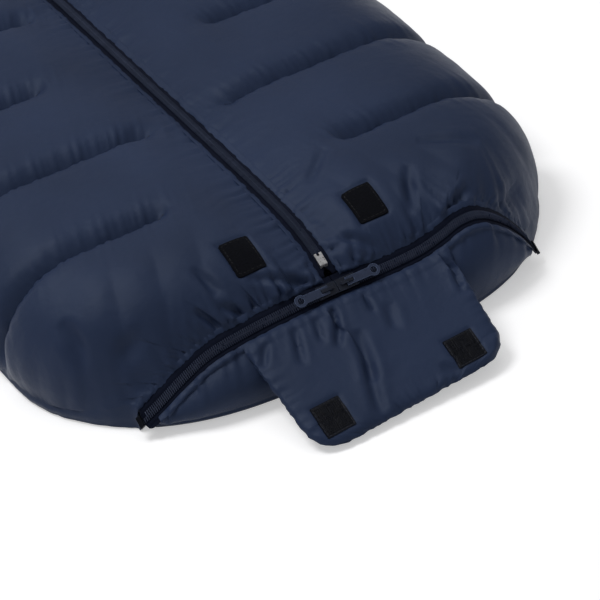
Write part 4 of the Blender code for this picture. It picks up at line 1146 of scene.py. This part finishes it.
def make_centre_zip():
    """Tapes and coils of the centre zip: below the bottom stop the tapes part in a V."""
    slider_post = CENTRE_SLIDER_Y + SLIDER_LENGTH / 2
    stop_end = STOP_START + STOP_LENGTH
    tape_start = LANE_ACROSS[1] * LANE_HALF_WIDTH + TAPE_THICKNESS + CLEARANCE
    y = spread([tape_start, stop_end, 2 * NEAR_LENGTH, COVER_LENGTH], 2.4 * MM)
    flare = 3.2 * MM * ease((STOP_START + 1 * MM - y) / (STOP_START - tape_start))
    inner, up = parting(y - slider_post) + flare, np.array((0.0, 0.0, 1.0))

    def middle(y):
        return points(0 * y, y, centre_height(y))

    for side_name, sign in SIDES:
        body, out = f"cover_{side_name}", np.array((sign, 0.0, 0.0))
        node = f"centre_tape_{side_name}"
        woven_tape(node, middle(y), inner, COVER_LENGTH - y, out, up, WELT_HEIGHTS["centre"], body)
        first = stop_end + CLEARANCE + COIL_PITCH / 2 * (1.5 if sign > 0 else 0.5)
        marks = np.arange(first, COVER_LENGTH - END_STOP_LENGTH - COIL_PITCH, COIL_PITCH)
        teeth(f"centre_coil_{side_name}", middle, marks, (0, MM), out, up, (1, slider_post), body)


# Foot panel and flap


def make_foot_panel():
    """Padded end wall, its cloth rolled over the edge of the lower tape, and its lining."""
    shares = np.linspace(-1, 1, PANEL_COLUMNS)[PANEL_ENDS:-PANEL_ENDS]
    falls = np.linspace(0, 1, PANEL_ROWS)
    face = panel_face(*np.meshgrid(shares, falls))
    along = whole_zip_point(shares)
    roll = [off_lane(along, *step) for step in PANEL_ROLL]
    start = np.concatenate([np.array(roll), face])
    start = smooth(start, np.zeros(start.shape[:2], bool), 1)
    start[0] = roll[0]
    normal = facing(start, points(0, -1, 0.4))
    x = start[..., 0]
    down = np.append(np.zeros(len(roll)), falls)[:, None] * np.ones_like(x)
    height = np.maximum(along[:, 2] - COVER_BASE, 8 * MM)[None]
    top_gap, bottom_gap, end_gap = down * height, (1 - down) * height, ZIP_HALF_SPAN - np.abs(x)
    spare_rows = spare((top_gap, 0.10, 14), (bottom_gap, 0.02, 12))
    spare_columns = np.full(x.shape, 0.04)
    swell = PANEL_SWELL * np.sin(math.pi * np.clip(down, 0, 1)) ** 0.6 * (1 - near(end_gap, 25))
    held = border_of(x.shape)
    seed = ripple(x + 0.3 * top_gap, (9, 14, 23), 31) * near(top_gap, 18) * 1.2 * MM
    seed += ripple(x, (13, 21, 34), 37) * near(bottom_gap, 14) * 0.4 * MM
    start = start + normal * np.where(held, 0, seed)[..., None]
    cloth = smooth(settle(start, normal, swell, spare_rows, spare_columns, held, PANEL_ROUNDS), held, 1)
    cloth[..., 2] = np.maximum(cloth[..., 2], LEAST_HEIGHT)
    out = np.array((0.0, -1.0, 0.0))
    cloth = cloth + out * (PANEL_FLARE * near(bottom_gap, 11) * ease(end_gap / (25 * MM)))[..., None]
    rise = np.append(np.arange(len(roll), 0, -1) * 0.02 * MM, np.zeros(len(face)))
    inner = np.concatenate([np.repeat(face[:1], len(roll), 0), face]) + points(0, PANEL_WALL, rise)[:, None]
    edge = cloth[-1]
    ground = points(edge[:, 0], foot_outline(edge[:, 0] / FOOT_HALF_WIDTH) - SKIRT_GAP, SKIRT_GROUND)
    skirt = np.array(hanging(edge, ground, out))
    inner = np.concatenate([inner, skirt - out * SKIRT_THICKNESS])
    skins, nodes = (np.concatenate([cloth, skirt]), inner), ("foot_panel_shell", "foot_panel_wadding")
    padded_piece("foot_panel_quilt", skins, nodes, body="back")
    thin = face[::2, ::2]
    skins = [thin - out * (PANEL_WALL + CLEARANCE + depth) for depth in (0, LINING)]
    fleece_sheet("foot_panel_fleece", skins, "foot_panel_lining", "back")


def flap_folds(place):
    """Height of the soft folds that run out from the flap's seam towards its free edge."""
    wave = gathers(place[..., 0] - 0.25 * place[..., 1], (15, 23, 37), 43)
    puckers = 0.8 * MM * wave * near(-LANE_HALF_WIDTH - place[..., 1], 11)
    return creased(place, FLAP_FOLDS, FLAP_FOLD_SHARE) + puckers


def flap_root(seam):
    """Rows of points that carry the flap's cloth on from its seam up to the lower tape."""
    place = whole_zip_point(zip_share(seam[:, 0]))
    edge, crest = off_lane(place, *ROOT_EDGE), off_lane(place, *ROOT_CREST)
    t = np.linspace(0, 1, ROOT_COUNT + 1)[:-1, None, None]
    return (1 - t) ** 2 * edge + 2 * t * (1 - t) * crest + t * t * seam


def make_flap():
    """Foot flap: nylon over thin wadding, sewn to the lower tape and turned, with its hook patches."""
    corner_start = 1 - FLAP_CORNER / FLAP_REACH[0]
    turned = 1 - (1 - corner_start) * np.cos(np.linspace(0, math.pi / 2, CORNER_ROWS)[1:])
    rows = np.append(spread([0, corner_start], 2 * MM / FLAP_REACH[0]), turned)
    u, v = np.meshgrid(np.linspace(0, 1, FLAP_COLUMNS), rows)
    face = flap_face(u, v)
    middle = face - facing(face, FLAP_OUT) * (FLAP_THICKNESS / 2)
    side_gap = np.minimum(u, 1 - u) * (FLAP_LEFT + FLAP_RIGHT)
    free = np.minimum(side_gap, (1 - v) * FLAP_REACH[0])
    lift = FLAP_THICKNESS / 2 * np.sqrt(np.clip(free / (3.5 * MM), 0, 1))

    # The rows from the seam up to the tape come first
    grow = np.linspace(0, 1, ROOT_COUNT + 1)[:-1, None]
    lift = np.concatenate([mix(0.4 * MM, lift[:1], grow), lift])
    middle = np.concatenate([flap_root(middle[0]), middle])
    root = np.repeat(free[:1], ROOT_COUNT, 0)
    free, side_gap = np.concatenate([root, free]), np.concatenate([root, side_gap])
    v = np.concatenate([np.zeros_like(root), v])
    edge_gap = (1 - v) * FLAP_REACH[0]
    normal = facing(middle, FLAP_OUT)
    place = middle + normal * lift[..., None]
    seam_gap = np.maximum(0, -LANE_ACROSS[1] * (TUCK_HALF_WIDTH + 1 * MM) - place[..., 1])

    swell = FLAP_SWELL * away((free, 7), (seam_gap, 6))
    spare_rows, spare_columns = spare((seam_gap, 0.12, 45), (free, 0.06, 9)), spare((free, 0.07, 10))
    held = border_of(v.shape)
    for _, sign in SIDES:
        patched = np.abs(place[..., 0] - sign * HOOK_X) < PATCH_WIDTH / 2
        held |= patched & (np.abs(v - HOOK_SHARE) * FLAP_REACH[0] < PATCH_LENGTH / 2)
    walk = np.where(free < edge_gap, place[..., 1], place[..., 0])
    seed = flap_folds(place) * (1 - near(seam_gap, 3))
    seed += gathers(walk, (13, 19, 29), 41) * near(np.abs(free - 5 * MM), 4) * 1.1 * MM
    seed = np.where(held, 0, seed)
    start = place + normal * seed[..., None]
    cloth = settle(start, normal, swell, spare_rows, spare_columns, held, FLAP_ROUNDS, 0.06)
    cloth = smooth(cloth, held, 1) + normal * (0.35 * seed)[..., None]

    wrinkles = gathers(place[..., 0] + 0.4 * place[..., 1], (17, 29, 47), 53) * 0.45 * MM
    notch = gathers(walk, (11, 17, 31), 47) * near(free, 3) * ease(seam_gap / (9 * MM)) * 0.9 * MM
    inward = -unit(points(near(side_gap, 8) * np.sign(place[..., 0]), -near(edge_gap, 8), 1e-9))
    cloth, middle = cloth + inward * notch[..., None], middle + inward * notch[..., None]
    under = middle - normal * (lift * 0.9 + 0.05 * MM + wrinkles * (1 - near(free, 5)) * (v > 0))[..., None]
    under[..., 2] = np.maximum(under[..., 2], 0.6 * MM)
    nodes = ("flap_face", "flap_wadding", "flap_backing")
    pad = padded_piece("flap_pad", (cloth, under), nodes)
    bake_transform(pad)
    for side_name, sign in SIDES:
        make_hook_patch(side_name, sign, rows, cloth[ROOT_COUNT:])


# Mat


def make_back():
    """Padded mat with the harness slots through it: nylon below and round the edge, fleece on top."""
    boxes = [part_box(name) for name in frame["nodes"] if "slot_binding" in name]
    spans_x = [(low.x + SLOT_BINDING, high.x - SLOT_BINDING) for low, high in boxes]
    spans_y = [(low.y + SLOT_BINDING, high.y - SLOT_BINDING) for low, high in boxes]
    border_x = BODY_HALF_WIDTH - FLEECE_INSET
    xs = {-border_x, border_x}.union(*spans_x)
    ys = {0.0, FLEECE_INSET, WIDENING_LENGTH, BACK_LENGTH - FLEECE_INSET, BACK_LENGTH}.union(*spans_y)
    rim = BODY_HALF_WIDTH - FLEECE_INSET * np.linspace(1, 0, 8)[1:] ** 2
    columns = np.concatenate([-rim[::-1], spread(sorted(xs), MAT_STEP), rim]) / BODY_HALF_WIDTH
    rows = spread(sorted(ys), MAT_STEP)
    x, y, insides = mat_plan(*np.meshgrid(columns, rows))
    middle_x = (columns[1:] + columns[:-1]) / 2 * BODY_HALF_WIDTH
    middle_y = (rows[1:] + rows[:-1]) / 2
    omit = np.zeros((len(rows) - 1, len(columns) - 1), bool)
    for (x0, x1), (y0, y1) in zip(spans_x, spans_y):
        omit |= ((middle_y > y0) & (middle_y < y1))[:, None] & ((middle_x > x0) & (middle_x < x1))[None]
    inside, top = np.minimum.reduce(insides), mat_top(insides)
    row_y = np.meshgrid(columns, rows)[1]
    lifted = 2.2 * MM * (1 - ease(inside / (9 * MM)))
    puckers = ripple(row_y + x, (17, 29, 41), 61) * 0.5 * MM * near(inside, 20)
    border = 1 - ease((inside - (FLEECE_INSET - 2 * MM)) / (1.5 * MM))
    upper = points(x, y, top - (LINING + CLEARANCE) * (1 - border))
    lower = points(x, y, lifted + np.abs(puckers) * (lifted > 0.01 * MM))
    nodes = ("back_shell", "back_wadding")
    padded_piece("back_pad", (upper, lower), nodes, body="back", omit=omit)
    tufts = np.random.default_rng(67).uniform(-0.45 * MM, 0.1 * MM, x.shape)
    soft = ripple(x * 1.3 + row_y, (23, 37, 61), 67) * 0.25 * MM - 0.3 * MM + tufts
    inset = np.minimum.reduce([inside[:-1, :-1], inside[1:, :-1], inside[:-1, 1:], inside[1:, 1:]])
    omit = omit | (inset < FLEECE_INSET)
    bottom = points(x, y, top - LINING)
    skins = (points(x, y, top + soft), bottom)
    fleece_sheet("back_fleece", skins, "back_lining", "back", omit)


def make_back_binding():
    """Woven tape folded over the mat's edge beyond the covers, with its row of stitches."""
    side_y = spread([COVER_LENGTH + QUILT_HALF_WIDTH, BACK_LENGTH], 5 * MM)
    turn = np.linspace(-math.pi / 2, math.pi / 2, HEAD_COLUMNS)
    plans = (mat_plan(-1, side_y), mat_plan(np.sin(turn), BACK_LENGTH), mat_plan(1, side_y[::-1]))
    edge = np.concatenate([points(x, y, 0) for x, y, _ in plans])
    edge = edge[np.append(True, np.linalg.norm(np.diff(edge, axis=0), axis=-1) > 0.5 * MM)]
    along = unit(np.gradient(edge, axis=0))
    outward = points(-along[:, 1], along[:, 0], 0)
    pucker = 1 + 0.10 * ripple(walked(edge), (9, 13, 21), 83)
    # The tape's section, from its upper hem round the mat's edge to its lower hem
    bend = np.linspace(math.pi / 2, -math.pi / 2, 9)
    out = np.concatenate([
        np.array((-5.0, -3.5, -2.0)) * MM, CLEARANCE + 2.6 * MM * np.cos(bend), np.array((-2.0, -4.0)) * MM
    ])
    up = np.concatenate([
        np.full(3, SEAM_LEVEL), SEAM_LEVEL * (0.5 + 0.5 * np.sin(bend)), np.array((0.6, 0.4)) * MM
    ])
    lift = np.concatenate([np.array((0.3, 0.8, 0.6)), np.full(9, 0.5), np.zeros(2)]) * MM

    def layer(depth):
        reach = out[None] * np.where(out > 0, pucker[:, None], 1) - depth * (out > 0)
        level = up[None] + lift[None] * pucker[:, None] - depth * np.sign(up - SEAM_LEVEL / 2)
        return edge[:, None] + outward[:, None] * reach[..., None] + points(0, 0, np.maximum(level, 0.1 * MM))

    tape = closed_grid("back_binding_tape", layer(0), layer(0.45 * MM), TAPE)
    dressed(tape, ("back_binding",), "back")
    path = edge - outward * 3 * MM + points(0, 0, SEAM_LEVEL + 0.8 * MM * pucker)
    upward = np.tile((0.0, 0.0, 1.0), (len(path), 1))
    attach(stitches("back_binding_stitches", path, upward, BLACK_THREAD), "back")


# Hardware and trim, by a word in a node's name: material, slot, rounding and the lighter material of the
# rounded edges, a painted highlight
TRIM = (
    ("slider", BLACK_ENAMEL, "enamel", 0.38 * MM, EDGE_HIGHLIGHT_ENAMEL),
    ("pull", ENAMEL, "enamel", 0.38 * MM, EDGE_HIGHLIGHT_ENAMEL),
    ("foot_zip_stop", DARK_STEEL, "steel", 0.3 * MM, None),
    ("stop", STEEL, "steel", 0.3 * MM, None),
    ("slot_binding", TAPE, "black_tape", 0.4 * MM, None),
    ("hem", TAPE, "black_tape", 0.9 * MM, None),
)


def make_trim():
    """Finer copies of the metal pieces, bindings and hems, with rounded edges, that stand for them."""
    bodies = frame["record"]["behaviour"]["bodies"]
    body_of = {node: body for body, members in bodies.items() for node in members}
    for node in sorted(frame["nodes"]):
        _, material, slot, width, edge_highlight = next((row for row in TRIM if row[0] in node), [None] * 5)
        if not material:
            continue
        mesh = frame["nodes"][node].data.copy()
        mesh.materials.clear()
        work = bmesh.new()
        work.from_mesh(mesh)
        bmesh.ops.remove_doubles(work, verts=work.verts[:], dist=1e-6)
        flat = {"verts": work.verts[:], "edges": work.edges[:], "delimit": {"NORMAL"}}
        bmesh.ops.dissolve_limit(work, angle_limit=math.radians(1), **flat)
        work.to_mesh(mesh)
        work.free()
        piece = made_object(f"{node}_finish", mesh, material, smooth_angle=40)
        bevel = piece.modifiers.new("rounding", "BEVEL")
        bevel.width = width
        bevel.segments = 3
        bevel.limit_method = "ANGLE"
        bevel.angle_limit = math.radians(35)
        bevel.use_clamp_overlap = True
        bevel.harden_normals = True
        # The bevels take the lighter enamel, a painted highlight along the edges
        if edge_highlight:
            mesh.materials.append(edge_highlight)
            bevel.material = 1
        if "hem" in node:
            dressed(piece, (node,))
            sewn_to_back(piece)
        else:
            dressed(piece, (node,), body_of[node])


# Surroundings


def make_floor():
    """White floor that the camera and shiny surfaces see a little brighter than the light makes it."""
    values = {"Base Color": (0.82, 0.82, 0.83, 1), "Roughness": 1.0, "Specular IOR Level": 0.0}
    surface = Surface("floor", values)
    rays = surface.node("LightPath")
    seen = surface.maths("MAXIMUM", rays["Is Camera Ray"], rays["Is Glossy Ray"])
    seen = surface.maths("MAXIMUM", seen, rays["Is Transmission Ray"])
    strength = surface.maths("MULTIPLY", seen, FLOOR_GLOW)
    glow = surface.node("Emission", {"Color": (1, 1, 1, 1), "Strength": strength})
    total = surface.node("AddShader", {0: surface.shader.outputs[0], 1: glow[0]})
    surface.feed(surface.tree.nodes["Material Output"], {"Surface": total[0]})
    mesh = bpy.data.meshes.new("floor")
    corners = [(x * FLOOR_SIZE, y * FLOOR_SIZE, 0) for x, y in ((-1, -1), (1, -1), (1, 1), (-1, 1))]
    mesh.from_pydata(corners, [], [(0, 1, 2, 3)])
    mesh.materials.append(surface.made)
    linked("floor", mesh)


def make_lights():
    """White world with a key lamp behind to the left and a larger, softer one above."""
    world = bpy.data.worlds.new("studio")
    bpy.context.scene.world = world
    world.use_nodes = True
    background = world.node_tree.nodes["Background"].inputs
    background["Color"].default_value = (1, 1, 1, 1)
    background["Strength"].default_value = WORLD_STRENGTH
    for name, place, size, power in LAMPS:
        light = bpy.data.lights.new(name, "AREA")
        light.shape = "DISK"
        light.size = size
        light.energy = power
        lamp = linked(name, light)
        lamp.location = place
        lamp.rotation_euler = (Vector(place) - Vector(LAMP_TARGET)).to_track_quat("Z", "Y").to_euler()
    bpy.context.scene.view_settings.view_transform = "Standard"


def make_camera():
    """Camera that sees the middle of the foot zip where the photograph shows it."""
    level = math.cos(CAMERA_ELEVATION)
    back = Vector((
        math.sin(CAMERA_AZIMUTH) * level, -math.cos(CAMERA_AZIMUTH) * level, math.sin(CAMERA_ELEVATION)
    ))
    turn = back.to_track_quat("Z", "Y") @ Quaternion((0, 0, 1), CAMERA_ROLL)
    right, up = turn @ Vector((1, 0, 0)), turn @ Vector((0, 1, 0))
    pixel = CAMERA_DISTANCE * SENSOR_WIDTH / (CAMERA_LENS * IMAGE_SIZE)
    across = (IMAGE_SIZE / 2 - ZIP_MIDDLE_PIXEL[0]) * pixel
    above = (ZIP_MIDDLE_PIXEL[1] - IMAGE_SIZE / 2) * pixel
    target = Vector((0, 0, ZIP_HEIGHT)) + right * across + up * above
    camera = bpy.data.cameras.new("camera")
    camera.lens = CAMERA_LENS
    camera.sensor_width = SENSOR_WIDTH
    made = linked("camera", camera)
    made.location = target + back * CAMERA_DISTANCE
    made.rotation_euler = turn.to_euler()
    bpy.context.scene.camera = made


make_camera()
make_floor()
make_lights()
for side_name, sign in SIDES:
    make_loop_patch(side_name, sign, *make_cover(side_name, sign))
make_foot_zip()
make_centre_zip()
make_foot_panel()
make_flap()
make_back()
make_back_binding()
make_trim()
